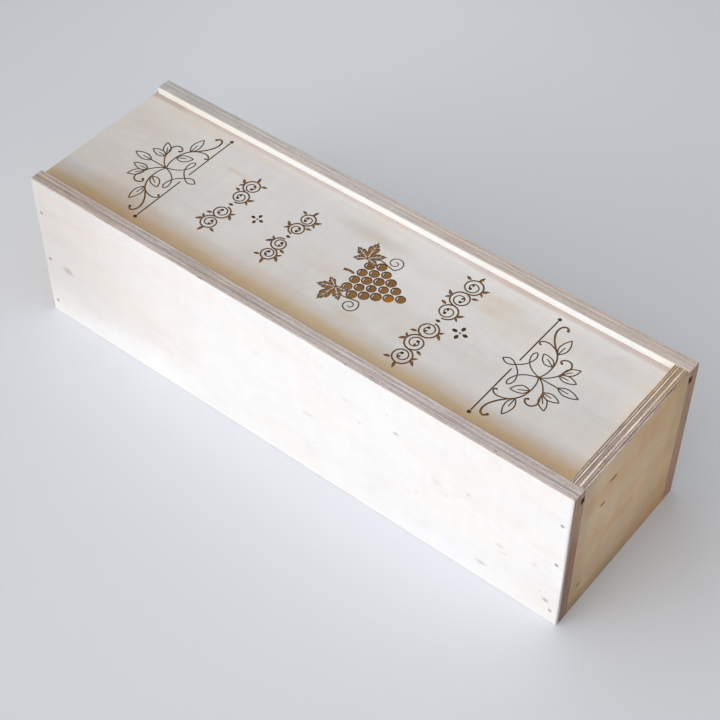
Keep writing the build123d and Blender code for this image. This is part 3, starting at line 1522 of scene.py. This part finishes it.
    def close_below(self, vertices: list, faces: list, at: dict, flat: list, rings: list,
                    levels: tuple[float, float]) -> None:
        """Adds the eased arrises, the edges and the underside to the engraved top.

        Args:
            vertices: the mesh's corners so far, added to in place.
            faces: its faces so far, added to in place.
            at: which vertex stands for each point of the top.
            flat: the points of the top.
            rings: the outlines from the flat top out to the full size.
            levels: the heights of the underside and of the top.
        """
        bottom, top = levels
        parts = self.arris_steps + 1
        level_points = [k for k, sunk in at if not sunk]
        previous: list[int] = []
        for place in rings[0]:
            nearest = min(level_points, key=lambda k: (flat[k] - Vector(place)).length_squared)
            previous += [at[nearest, False]] * parts
        turns = [math.pi / 2 * step / self.arris_steps for step in range(1, parts)]
        drops = [self.arris * (1 - math.cos(turn)) for turn in turns]
        runs = [(ring, top - drop) for ring, drop in zip(rings[1:], drops)]
        runs += [(ring, bottom + drop) for ring, drop in zip(rings[1:], drops)][::-1]
        for ring, height in runs:
            current = list(range(len(vertices), len(vertices) + len(ring)))
            vertices += [(x, y, height) for x, y in ring]
            self.band(faces, previous, current)
            previous = current
        start = len(vertices)
        vertices += [(x, y, bottom) for x, y in rings[0]]
        self.band(faces, previous, [start + k // parts for k in range(len(previous))])
        faces.append((start + 3, start + 2, start + 1, start))

    @staticmethod
    def band(faces: list, upper: list[int], lower: list[int]) -> None:
        """Joins two rings of vertices with faces, leaving out those that have shrunk to a line.

        Args:
            faces: the mesh's faces so far, added to in place.
            upper: the vertices of one ring.
            lower: those of the other, as many.
        """
        for a, b, c, d in zip(upper, lower, lower[1:] + lower[:1], upper[1:] + upper[:1]):
            corners = tuple(dict.fromkeys((a, b, c, d)))
            if len(corners) >= 3:
                faces.append(corners)


@dataclass
class BradRow:
    """The brads of one corner of the box, made by Geometry Nodes from one turned brad.

    Attributes:
        node: the row's node in the frame.
        outward: 1 for the back side and -1 for the front side.
        body: the body that it moves with.
        head_radius: the radius of a brad's head.
        head_height: the height of its head.
        head_round: how far the head's edge is rounded.
        shank_radius: the radius of its shank.
        point_length: the length of its point.
        point_radius: the radius of the point's flat tip.
        sides: how many sides stand for its round.
    """

    node: str
    outward: float
    body: str = "box"
    head_radius: float = 1.05
    head_height: float = 0.8
    head_round: float = 0.12
    shank_radius: float = 0.65
    point_length: float = 1.6
    point_radius: float = 0.15
    sides: int = 24

    def profile(self, length: float) -> list[Point]:
        """Half the outline of a brad: radius and depth below the top of its head.

        Args:
            length: the brad's length.

        Returns:
            The points, from the middle of the head to the point.
        """
        rim = self.head_round
        return [
            (0.0, 0.06),
            (0.30 * self.head_radius, 0.02),
            (0.62 * self.head_radius, 0.0),
            (self.head_radius - rim, 0.02),
            (self.head_radius - 0.3 * rim, 0.3 * rim),
            (self.head_radius, rim),
            (self.head_radius, self.head_height - rim),
            (self.head_radius - rim, self.head_height),
            (self.shank_radius, self.head_height),
            (self.shank_radius, length - self.point_length),
            (self.point_radius, length),
            (0.0, length),
        ]

    def brad_mesh(self, length: float) -> bpy.types.Object:
        """Turns one brad round its own axis, its head's top at the origin, pointing along +Z.

        Args:
            length: the brad's length.

        Returns:
            An object that only the geometry nodes use.
        """
        top, *outline, tip = self.profile(length)
        vertices = []
        for radius, depth in outline:
            vertices += [(*place, depth) for place in disc((0.0, 0.0), radius, self.sides)]
        faces = []
        last = (len(outline) - 1) * self.sides
        for ring in range(0, last, self.sides):
            for k in range(self.sides):
                a, b = ring + k, ring + (k + 1) % self.sides
                faces.append((a, a + self.sides, b + self.sides, b))
        middle = len(vertices)
        vertices += [(0.0, 0.0, top[1]), (0.0, 0.0, tip[1])]
        for k in range(self.sides):
            after = (k + 1) % self.sides
            faces += [(middle, k, after), (middle + 1, last + after, last + k)]
        brad = mesh_object(f"{self.node}_pattern", vertices, faces)
        face_outwards(brad.data)
        return brad

    def tree(self, brad: bpy.types.Object, material: bpy.types.Material) -> bpy.types.GeometryNodeTree:
        """Builds the geometry nodes that set one brad on each point of a mesh.

        Args:
            brad: the brad that is repeated.
            material: what the brads are made of.

        Returns:
            The tree, with named inputs for the way that the brads point and how much they are turned.
        """
        tree = bpy.data.node_groups.new(f"{self.node}_tree", "GeometryNodeTree")
        for label, way, kind in (("Geometry", "INPUT", "Geometry"), ("Drive direction", "INPUT", "Vector"),
                                 ("Turn seed", "INPUT", "Int"), ("Geometry", "OUTPUT", "Geometry")):
            tree.interface.new_socket(label, in_out=way, socket_type=f"NodeSocket{kind}")
        w = Wiring(tree)
        take = w.add("NodeGroupInput").outputs
        points = w.add("GeometryNodeMeshToPoints", {"Mesh": take["Geometry"]})
        one = w.add("GeometryNodeObjectInfo", {"Object": brad})
        aim = w.add("FunctionNodeAlignRotationToVector", {"Vector": take["Drive direction"]}, axis="Z")
        turn = w.add("FunctionNodeRandomValue", {
            "Seed": take["Turn seed"],
            NUMBER_A: 0.0,
            NUMBER_B: 2 * math.pi,
        }, data_type="FLOAT")
        roll = w.add("FunctionNodeAxisAngleToRotation", {
            "Axis": (0.0, 0.0, 1.0),
            "Angle": turn.outputs[RANDOM_NUMBER],
        })
        both = w.add("FunctionNodeRotateRotation", {0: aim.outputs[0], 1: roll.outputs[0]},
                     rotation_space="LOCAL")
        placed = w.add("GeometryNodeInstanceOnPoints", {
            "Points": points.outputs[0],
            "Instance": one.outputs["Geometry"],
            "Rotation": both.outputs[0],
        })
        real = w.add("GeometryNodeRealizeInstances", {0: placed.outputs[0]})
        dressed = w.add("GeometryNodeSetMaterial", {0: real.outputs[0], "Material": material})
        w.add("NodeGroupOutput", {0: dressed.outputs[0]})
        return tree

    def build(self, material: bpy.types.Material, seed: int) -> bpy.types.Object:
        """Sets the row's brads where the frame has them.

        Args:
            material: the steel.
            seed: how the brads are turned.

        Returns:
            The row's object.
        """
        solids = loose_boxes(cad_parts[self.node])
        heads = [
            Vector(((low.x + high.x) / 2, high.y if self.outward > 0 else low.y, (low.z + high.z) / 2))
            for low, high in solids
        ]
        points = put(f"{self.node}_points", bpy.data.meshes.new("points"))
        points.data.from_pydata(heads, [], [])
        last_low, last_high = solids[-1]
        brad = self.brad_mesh((last_high.y - last_low.y) / MM)
        tree = self.tree(brad, material)
        modifier = points.modifiers.new("brads", "NODES")
        modifier.node_group = tree
        names = {item.name: item.identifier for item in tree.interface.items_tree if item.in_out == "INPUT"}
        modifier[names["Drive direction"]] = (0.0, -self.outward, 0.0)
        modifier[names["Turn seed"]] = seed
        row = plain_copy(points, f"{self.node}_row")
        bpy.data.objects.remove(points)
        bpy.data.objects.remove(brad)
        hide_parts(self.node)
        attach(row, self.body)
        return row


def loose_boxes(node: bpy.types.Object) -> list[tuple[Vector, Vector]]:
    """The box round each separate solid of a node, from the lowest up.

    Args:
        node: a node of the frame.

    Returns:
        The lowest and highest corner of each solid, in metres.
    """
    copy = bmesh.new()
    copy.from_mesh(node.data)
    bmesh.ops.remove_doubles(copy, verts=copy.verts, dist=SAME_PLACE)
    waiting = set(copy.verts)
    boxes = []
    while waiting:
        shell = [waiting.pop()]
        for vertex in shell:
            linked = {side.other_vert(vertex) for side in vertex.link_edges} & waiting
            waiting -= linked
            shell += linked
        axes = list(zip(*(vertex.co for vertex in shell)))
        boxes.append((Vector([min(axis) for axis in axes]), Vector([max(axis) for axis in axes])))
    copy.free()
    return sorted(boxes, key=lambda box: box[0].z)


def plain_copy(source: bpy.types.Object, name: str) -> bpy.types.Object:
    """Turns what an object's modifiers make into a plain mesh object.

    Args:
        source: the object with its modifiers.
        name: the new object's name.

    Returns:
        The new object.
    """
    graph = bpy.context.evaluated_depsgraph_get()
    return put(name, bpy.data.meshes.new_from_object(source.evaluated_get(graph), depsgraph=graph))


@dataclass
class Carcass:
    """The fixed boards of the box, each in its own plywood.

    Attributes:
        groove: from where to where the lid's groove reaches up a side.
        groove_reach: from where to where the painted shade at its stop end reaches in depth.
        scorched: what the wood's colour is multiplied by at the groove's deep stop end, painted shade.
    """

    groove: tuple[float, float] = (94.0, 98.45)
    groove_reach: tuple[float, float] = (5.7, 9.2)
    # Painted shade: what darkens the deep stop end of each groove
    scorched: Colour = (0.36, 0.15, 0.12)

    def finishes(self) -> dict[str, Plywood]:
        """The finish of each board.

        Returns:
            Node name to finish.
        """
        # A corner of each board that lies on its outer face
        (front, _), (_, back), (_, stop), (opening, _), (base, _) = (
            [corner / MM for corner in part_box(name)]
            for name in ("front_side", "back_side", "stop_end_panel", "open_end_panel", "base_board")
        )
        return {
            "front_side": Plywood(
                "front_side_plywood", Grain.ALONG_BOX_UPRIGHT, front.y, FRONT_LAYUP,
                (0.0, 40.0, 0.0), srgb(250, 248, 247), srgb(250, 244, 239), srgb(247, 245, 244),
                fleck=srgb(214, 190, 174), figure=0.6, flecks=0.5, contrast=0.7, marks=self.front_marks(),
                butt=(0.77, 0.56, 0.44), void=srgb(128, 106, 96), edge_marks=self.front_edge_marks(),
                tint_regions=(self.painted_groove_shade(), *self.front_tint_regions()),
            ),
            "back_side": Plywood(
                "back_side_plywood", Grain.ALONG_BOX_UPRIGHT, back.y, BACK_LAYUP,
                (700.0, 310.0, 90.0), srgb(251, 251, 250), srgb(250, 249, 246), srgb(247, 247, 246),
                fleck=srgb(214, 192, 176), long_edge=srgb(222, 213, 206), end_edge=srgb(212, 201, 194),
                butt=(0.74, 0.53, 0.39), tint_regions=(self.painted_groove_shade(), *self.back_tint_regions()),
            ),
            "stop_end_panel": Plywood(
                "stop_end_plywood", Grain.ACROSS_BOX_UPRIGHT, stop.x, END_LAYUP,
                (200.0, 900.0, 33.0), srgb(240, 214, 180), srgb(234, 196, 150), srgb(222, 200, 172),
                fleck=srgb(160, 112, 74), contrast=1.5, waviness=0.18, void=srgb(70, 50, 42),
                long_edge=srgb(236, 218, 204), end_edge=srgb(208, 186, 172), glue=srgb(58, 38, 38),
                marks=self.end_marks(), tint_regions=self.end_tint_regions(),
            ),
            "open_end_panel": Plywood(
                "open_end_plywood", Grain.ACROSS_BOX_UPRIGHT, opening.x, END_LAYUP,
                (520.0, 130.0, 71.0), srgb(240, 218, 188), srgb(234, 202, 160), srgb(224, 206, 180),
                fleck=srgb(160, 112, 74),
            ),
            "base_board": Plywood(
                "base_plywood", Grain.ALONG_BOX_FLAT, base.z, FRONT_LAYUP,
                (90.0, 610.0, 12.0), srgb(240, 224, 202), srgb(236, 210, 178), srgb(226, 214, 196),
                fleck=srgb(160, 116, 82),
            ),
        }

    def painted_groove_shade(self) -> TintRegion:
        """Painted shade in the deep stop end of a side's groove."""
        return TintRegion(self.scorched, along=(171.5, FAR), across=self.groove, depth=self.groove_reach,
                     fade=(3.0, 0.1, 0.1))

    @staticmethod
    def front_tint_regions() -> tuple[TintRegion, ...]:
        """The front side's tints: painted shade greying it towards the open end and low down, painted shade
        and light along its rims, a torn stop end arris greyed partly by painted shade, and a sawn end darker
        and browner low down.
        """
        return (
            # Painted shade: the outer face greys towards the open end
            TintRegion((0.80, 0.79, 0.785), along=(-FAR, -70.0), across=(-24.0, FAR), depth=SKIN,
                  fade=(115.0, 62.0, 0.3), wander=30.0),
            TintRegion((0.965, 0.945, 0.93), along=(-FAR, -45.0), across=(8.0, FAR), depth=SKIN,
                  fade=(34.0, 24.0, 0.3), wander=10.0),
            # Painted shade: the outer face a little darker low down
            TintRegion((0.952, 0.958, 0.963), along=(-90.0, FAR), across=(-FAR, 42.0), depth=SKIN,
                  fade=(40.0, 26.0, 0.3)),
            # Painted shade and painted light along the rims: darker towards the open end, lighter from 20 to
            # 100 mm
            TintRegion((0.86, 0.81, 0.74), along=(-FAR, -80.0), depth=BELOW_SKIN, fade=(80.0, 1.0, 1.0)),
            TintRegion((0.93, 0.91, 0.89), along=(-90.0, -5.0), depth=BELOW_SKIN, fade=(25.0, 1.0, 1.0)),
            TintRegion((1.07, 1.07, 1.09), along=(20.0, 100.0), depth=BELOW_SKIN, fade=(20.0, 1.0, 1.0)),
            # The stop end arris greyer: partly torn wood, partly painted shade
            TintRegion((0.80, 0.79, 0.79), along=(179.9, FAR), depth=SKIN, fade=(1.0, 1.0, 0.3), wander=1.5),
            TintRegion((0.80, 0.78, 0.77), along=(179.3, FAR), across=(40.0, FAR), depth=(-FAR, 2.0),
                  fade=(0.9, 30.0, 1.0)),
            TintRegion((0.72, 0.64, 0.57), along=(173.0, FAR), across=(-FAR, 80.0), depth=(1.0, FAR),
                  fade=(1.0, 30.0, 1.5), wander=8.0),
            TintRegion((0.97, 1.08, 1.20), along=(173.0, FAR), across=(-FAR, 38.0), depth=(1.0, FAR),
                  fade=(1.0, 14.0, 1.0), wander=4.0),
            TintRegion((1.0, 0.86, 0.78), along=(180.6, FAR), depth=(6.0, FAR), fade=(0.2, 1.0, 3.0)),
        )

    def back_tint_regions(self) -> tuple[TintRegion, ...]:
        """The back side's tints: a warmer outer face, painted shade greying its rim and inner face towards
        the open end, warmer towards the stop end, and painted shade deep in its groove.
        """
        return (
            TintRegion((0.95, 0.90, 0.83), depth=(-FAR, 0.45), fade=(1.0, 1.0, 0.3)),
            # Painted shade: the rim and the inner face darker towards the open end
            TintRegion((0.83, 0.87, 0.90), along=(-FAR, -80.0), depth=(0.2, 8.6), fade=(80.0, 1.0, 0.3)),
            TintRegion((0.97, 0.93, 0.89), along=(-FAR, -80.0), depth=(8.6, FAR), fade=(80.0, 1.0, 0.3)),
            TintRegion((0.99, 0.94, 0.92), along=(-5.0, FAR), depth=(0.5, 8.6), fade=(40.0, 1.0, 0.3)),
            # Painted shade, bluer, deep in the groove's stop end
            TintRegion((0.45, 0.55, 0.65), along=(171.5, FAR), across=self.groove, depth=self.groove_reach,
                  fade=(3.0, 0.1, 0.1)),
        )

    def end_tint_regions(self) -> tuple[TintRegion, ...]:
        """The stop end's tints: painted shade beside the grooves, low down and in a contact shadow at the
        foot, darker at both sides, and painted warm bounce light and reflection on the inner face above the
        lid.
        """
        return (
            # Painted shade where the panel's edges stand inside the grooves
            TintRegion(self.scorched, along=(-FAR, -46.70), across=self.groove, fade=(0.03, 0.1, 1.0)),
            TintRegion(self.scorched, along=(46.70, FAR), across=self.groove, fade=(0.03, 0.1, 1.0)),
            # Painted shade: darker low down, and a painted contact shadow along the foot
            TintRegion((0.86, 0.78, 0.70), across=(-FAR, 62.0), fade=(1.0, 70.0, 1.0), wander=12.0),
            TintRegion((0.86, 0.85, 0.80), across=(-FAR, 3.2), depth=SKIN, fade=(1.0, 3.2, 0.3)),
            TintRegion((0.95, 0.87, 0.72), along=(-8.0, FAR), fade=(60.0, 1.0, 1.0), wander=14.0),
            TintRegion((0.82, 0.80, 0.80), along=(-FAR, -30.0), depth=SKIN, fade=(14.0, 1.0, 0.3), wander=6.0),
            # Painted shade near the foot, towards the front
            TintRegion((0.78, 0.82, 0.81), along=(-FAR, 24.0), across=(-FAR, 13.0), depth=SKIN,
                  fade=(34.0, 8.0, 0.3), wander=2.0),
            TintRegion((0.93, 0.87, 0.78), along=(-38.0, -20.0), across=(36.0, 68.0), depth=SKIN,
                  fade=(8.0, 14.0, 0.3), wander=8.0),
            TintRegion((0.90, 0.93, 0.94), along=(30.0, FAR), across=(40.0, FAR), depth=SKIN,
                  fade=(10.0, 24.0, 0.3), wander=3.0),
            # Painted warm bounce light on the inner face above the lid, and a painted golden reflection on
            # its top inner arris
            TintRegion((1.0, 0.94, 0.82), across=(92.0, FAR), depth=(8.7, FAR), fade=(1.0, 3.0, 0.25)),
            TintRegion((1.0, 0.92, 0.72), across=(101.2, FAR), depth=(8.5, FAR), fade=(1.0, 1.0, 0.3)),
        )

    @staticmethod
    def front_edge_marks() -> tuple[Mark, ...]:
        """Pale torn fibres on the front side's sawn end, and small chips along its top arris.

        Returns:
            The marks.
        """
        torn = srgb(236, 230, 228)
        chip = srgb(150, 112, 96)
        return (
            Mark(181.0, 10.0, 2.0, 36.0, 0.95, torn, 0.5, 0.2, 1.9),
            Mark(181.0, 54.0, 2.0, 32.0, 0.80, torn, 0.4, 0.1, 1.2),
            Mark(181.0, 84.0, 2.0, 18.0, 0.30, torn, 0.3, 0.0, 0.7),
            Mark(-53.0, 102.6, 2.6, 1.2, 0.8, chip, 0.3, 0.2, 1.2),
            Mark(44.2, 102.6, 1.1, 1.0, 0.7, chip, 0.3, 0.2, 0.9),
        )

    @staticmethod
    def front_marks() -> tuple[Mark, ...]:
        """Streaks and pin knots on the front side's outer face.

        Returns:
            The marks.
        """
        soft = srgb(226, 212, 200)
        pink = srgb(228, 216, 212)
        brown = srgb(146, 110, 92)
        grey = srgb(158, 134, 130)
        places = (
            (-160.6, 42.1, 5.8, 3.8, 0.55, srgb(196, 166, 138)),
            (76.8, 73.9, 2.8, 1.6, 0.52, grey),
            (71.3, 84.5, 1.8, 1.4, 0.51, soft),
            (53.5, 65.2, 2.2, 2.2, 0.59, pink),
            (44.5, 76.7, 3.5, 1.4, 0.59, pink),
            (19.2, 47.0, 6.2, 2.3, 0.51, soft),
            (23.1, 27.0, 2.5, 1.3, 0.42, soft),
            (29.6, 91.6, 2.0, 1.3, 0.42, soft),
            (-16.1, 71.0, 3.8, 1.2, 0.51, pink),
            (91.0, 38.8, 2.2, 1.4, 0.42, soft),
            (103.5, 55.9, 5.2, 3.2, 0.55, pink),
            (109.9, 50.1, 2.5, 1.3, 0.51, soft),
            (122.7, 61.2, 2.2, 1.9, 0.24, grey),
            (143.1, 36.6, 4.0, 1.9, 0.22, brown),
            (146.4, 32.4, 3.0, 1.3, 0.55, soft),
            (133.4, 13.6, 5.4, 2.1, 0.34, brown),
            (164.3, 38.9, 3.5, 2.6, 0.55, pink),
            (169.2, 20.4, 1.6, 1.6, 0.59, soft),
            (173.0, 15.9, 3.0, 2.0, 0.62, brown),
        )
        return tuple(Mark(*place, core=0.05) for place in places)

    @staticmethod
    def end_marks() -> tuple[Mark, ...]:
        """Streaks on the stop end's outer face.

        Returns:
            The marks.
        """
        brown = srgb(144, 74, 16)
        return (
            Mark(-19.5, 84.8, 4.6, 1.3, 0.95, brown, 0.55),
            Mark(-26.5, 71.4, 2.8, 1.4, 0.95, brown, 0.55),
            Mark(-38.4, 17.0, 2.1, 1.1, 0.85, brown, 0.55),
        )

    def dress(self, groups: WoodGroups) -> None:
        """Gives each board of the frame its finish.

        Args:
            groups: the shared wood effects.
        """
        for name, finish in self.finishes().items():
            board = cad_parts[name]
            board.data.materials.clear()
            board.data.materials.append(finish.material(groups))
            log.info("dressed %s", name)


def lid_finish() -> Plywood:
    """The lid's plywood: thinner, three plies, with warm clouds of its own, a painted shadow and painted warm
    bounce light beside the front rim, and painted shade towards the open end and along the back edge.

    Returns:
        The finish.
    """
    _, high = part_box("sliding_lid")
    warm = srgb(232, 200, 160)
    rose = srgb(236, 214, 198)
    clouds = (
        (80.1, 32.2, 22.0, 6.0, 0.30, warm),
        (77.1, 23.2, 10.0, 5.0, 0.30, warm),
        (149.4, 35.2, 12.0, 7.0, 0.25, rose),
        (-9.3, -4.8, 14.0, 8.0, 0.25, rose),
        (-97.3, 23.1, 13.0, 2.2, 0.40, warm),
        (-83.3, 22.1, 16.0, 2.0, 0.30, rose),
        (0.5, 41.2, 60.0, 4.0, 0.20, rose),
        (-5.0, 30.0, 36.0, 8.0, 0.60, srgb(222, 208, 192)),
        (20.0, -25.0, 14.0, 6.0, 0.30, warm),
    )
    tint_regions = (
        # Painted shadow and painted warm bounce light in a band beside the front rim
        TintRegion((0.93, 0.88, 0.84), across=(-FAR, -24.0), fade=(1.0, 8.0, 1.0), wander=6.0),
        TintRegion((0.965, 0.807, 0.56), across=(-FAR, -31.0), fade=(1.0, 9.0, 1.0), wander=6.0),
        TintRegion((0.98, 1.08, 1.18), along=(-FAR, -146.0), across=(-FAR, -22.0), fade=(22.0, 5.0, 1.0)),
        TintRegion((0.95, 0.93, 0.92), along=(60.0, FAR), across=(-FAR, -28.5), fade=(40.0, 6.0, 1.0), wander=4.0),
        TintRegion((1.045, 1.05, 1.05), along=(12.0, FAR), across=(-4.0, 26.0), fade=(12.0, 8.0, 1.0), wander=6.0),
        # More of the painted shadow beside the front rim, towards the open end
        TintRegion((0.92, 0.86, 0.80), along=(-FAR, -50.0), across=(-FAR, -20.0), fade=(80.0, 10.0, 1.0),
              wander=8.0),
        TintRegion((0.90, 0.89, 0.88), across=(-FAR, 60.0), fade=(1.0, 100.0, 1.0)),
        # Painted shade: darker towards the open end
        TintRegion((0.92, 0.90, 0.88), along=(-FAR, -60.0), fade=(120.0, 1.0, 1.0)),
        TintRegion((0.96, 0.965, 0.975), along=(110.0, FAR), fade=(40.0, 1.0, 1.0), wander=20.0),
        TintRegion((1.0, 0.97, 0.93), along=(-170.0, -40.0), across=(35.0, FAR), fade=(10.0, 3.0, 1.0)),
        # Painted shade along the back edge, where the lid meets the back side
        TintRegion((0.86, 0.79, 0.77), across=(43.2, FAR), fade=(1.0, 2.2, 1.0), wander=1.0),
        TintRegion((0.89, 0.84, 0.82), along=(20.0, FAR), across=(42.4, FAR), fade=(60.0, 1.4, 1.0), wander=1.0),
        TintRegion((0.86, 0.83, 0.82), along=(-FAR, -150.0), across=(42.4, FAR), fade=(12.0, 1.6, 1.0),
              wander=1.0),
        TintRegion((1.0, 0.98, 0.93), along=(20.0, FAR), across=(23.5, 31.5), fade=(40.0, 3.0, 1.0), wander=3.0),
    )
    return Plywood(
        "lid_plywood", Grain.ALONG_BOX_FLAT, high.z / MM, LID_LAYUP,
        (340.0, 70.0, 5.0), srgb(245, 242, 240), srgb(243, 235, 227), srgb(236, 235, 234),
        fleck=srgb(196, 168, 146), flecks=0.45, marks=tuple(Mark(*cloud, core=0.0) for cloud in clouds),
        long_edge=srgb(226, 206, 182), end_edge=srgb(190, 160, 136), tint_regions=tint_regions,
    )


@dataclass(frozen=True)
class Lamp:
    """One soft lamp that the camera doesn't see.

    Attributes:
        name: the lamp's name.
        place: where it hangs, in millimetres.
        aim: the point that it faces.
        size: its width and height.
        level: how bright it makes a surface at its aim that faces it: 1 shows a colour as it is written.
        spread: how wide its light spreads, in degrees.
    """

    name: str
    place: Triple
    aim: Triple
    size: tuple[float, float]
    level: float
    spread: float = 180.0

    def hang(self) -> None:
        """Adds the lamp to the scene."""
        place = Vector(self.place) * MM
        away = place - Vector(self.aim) * MM
        lamp = bpy.data.lights.new(self.name, "AREA")
        lamp.shape = "RECTANGLE"
        lamp.size, lamp.size_y = (length * MM for length in self.size)
        lamp.energy = math.pi ** 2 * away.length_squared * self.level
        lamp.spread = math.radians(self.spread)
        made = put(self.name, lamp)
        made.matrix_world = Matrix.Translation(place) @ away.to_track_quat("Z", "Y").to_matrix().to_4x4()
        made.visible_camera = False


@dataclass
class Studio:
    """Floor, lamps, background and camera.

    Attributes:
        focal_pixels: the camera's focal length in pixels.
        image_pixels: the width of the image that it is given for.
        pixel_centre: how far right and down the picture moves, in pixels, as a pixel is seen at its middle.
        camera_place: the camera's place, in millimetres.
        right: the image's right hand direction.
        down: the image's downward direction.
        lamps: weak lamps, low and high windows at the front left, the ceiling, and pools on the floor.
        walls: pale walls far away, each with the direction it lies in and how much light it gives.
        floor_colour: the floor's colour.
        backdrop: what the camera sees past the floor.
    """

    focal_pixels: float = 1646.35
    image_pixels: float = 720.0
    pixel_centre: float = 0.5
    camera_place: Triple = (391.65, -480.06, 707.05)
    right: Triple = (0.781911, 0.623383, 0.001259)
    down: Triple = (0.46114, -0.577052, -0.674069)
    lamps: tuple[Lamp, ...] = (
        Lamp("low_window", (-93.0, -1048.0, 462.0), (60.0, -40.0, 50.0), (380.0, 300.0), 0.077),
        Lamp("side_window", (-400.0, -950.0, 462.0), (60.0, -40.0, 50.0), (380.0, 300.0), 0.052),
        Lamp("high_window", (-259.0, -671.0, 893.0), (60.0, -40.0, 50.0), (380.0, 300.0), 0.034),
        Lamp("front_glow", (60.0, -1500.0, 120.0), (60.0, -55.0, 50.0), (600.0, 200.0), 0.02),
        Lamp("ceiling", (200.0, -150.0, 900.0), (100.0, -50.0, 50.0), (500.0, 500.0), 0.119),
        Lamp("back_lamp", (300.0, 700.0, 800.0), (0.0, 0.0, 0.0), (700.0, 700.0), 0.042),
        Lamp("back_pool", (-240.0, 420.0, 420.0), (-200.0, 200.0, 0.0), (200.0, 200.0), 0.031, 90.0),
        Lamp("stop_end_pool", (420.0, -220.0, 420.0), (235.0, -20.0, 0.0), (200.0, 200.0), 0.014, 90.0),
    )
    walls: tuple[tuple[Triple, float], ...] = (
        ((-1.0, 0.0, 0.0), 0.835),
        ((0.0, -1.0, 0.0), 1.333),
        ((0.0, 1.0, 0.0), 0.178),
    )
    floor_colour: Colour = srgb(233, 236, 242)
    backdrop: Colour = srgb(206, 210, 215)

    def build(self) -> None:
        """Sets the whole stage."""
        self.floor()
        for lamp in self.lamps:
            lamp.hang()
        self.world()
        self.camera()
        bpy.context.scene.view_settings.view_transform = "Standard"

    def floor(self) -> None:
        """Lays a plain pale floor."""
        reach = 6000.0
        corners = [(-reach, -reach, 0.0), (reach, -reach, 0.0), (reach, reach, 0.0), (-reach, reach, 0.0)]
        floor = mesh_object("studio_floor", corners, [(0, 1, 2, 3)])
        paint = {"Base Color": self.floor_colour, "Roughness": 0.85, "Specular IOR Level": 0.1}
        floor.data.materials.append(new_material("studio_floor_paint", paint)[0])

    def world(self) -> None:
        """Gives the light of pale walls far away, and a pale backdrop for the camera."""
        world = bpy.data.worlds.new("studio_world")
        world.use_nodes = True
        world.node_tree.nodes.clear()
        w = Wiring(world.node_tree)
        path = w.add("ShaderNodeLightPath")
        seen = w.math("MAXIMUM", path.outputs["Is Camera Ray"], path.outputs["Is Glossy Ray"])
        way = w.add("ShaderNodeTexCoord").outputs["Object"]
        strength = w.sum_of(*(
            w.times(w.math("MAXIMUM", w.dot(way, towards), 0.0), level) for towards, level in self.walls
        ))
        around = w.add("ShaderNodeBackground", {"Color": (1.0, 1.0, 1.0), "Strength": strength})
        behind = w.add("ShaderNodeBackground", {"Color": self.backdrop, "Strength": 1.0})
        both = w.add("ShaderNodeMixShader", {0: seen, 1: around.outputs[0], 2: behind.outputs[0]})
        w.add("ShaderNodeOutputWorld", {0: both.outputs[0]})
        bpy.context.scene.world = world

    def camera(self) -> None:
        """Stands the camera where the photo's vanishing points put it."""
        data = bpy.data.cameras.new("camera")
        data.sensor_width = 36.0
        data.lens = self.focal_pixels / self.image_pixels * data.sensor_width
        data.shift_x = -self.pixel_centre / self.image_pixels
        data.shift_y = self.pixel_centre / self.image_pixels
        data.clip_end = 50.0
        right = Vector(self.right).normalized()
        down = Vector(self.down)
        down = (down - right * down.dot(right)).normalized()
        back = right.cross(-down)
        turn = Matrix((right, -down, back)).transposed()
        made = put("camera", data)
        made.matrix_world = Matrix.Translation(Vector(self.camera_place) * MM) @ turn.to_4x4()
        bpy.context.scene.camera = made


def main() -> None:
    """Builds and dresses the box, then the stage."""
    Studio().build()
    groups = WoodGroups()
    Carcass().dress(groups)
    lid = EngravedLid().build(groups, lid_finish().material(groups))
    log.info("built %s with %d faces", lid.name, len(lid.data.polygons))
    steel = BradSteel().material()
    corners = (
        ("front_stop_end_brads", -1.0),
        ("back_stop_end_brads", 1.0),
        ("front_open_end_brads", -1.0),
        ("back_open_end_brads", 1.0),
    )
    for seed, (node, outward) in enumerate(corners, start=1):
        made = BradRow(node, outward).build(steel, seed)
        log.info("built %s with %d faces", made.name, len(made.data.polygons))


if __name__ == "__main__":
    logging.basicConfig(level=logging.INFO, format="%(message)s")
    main()
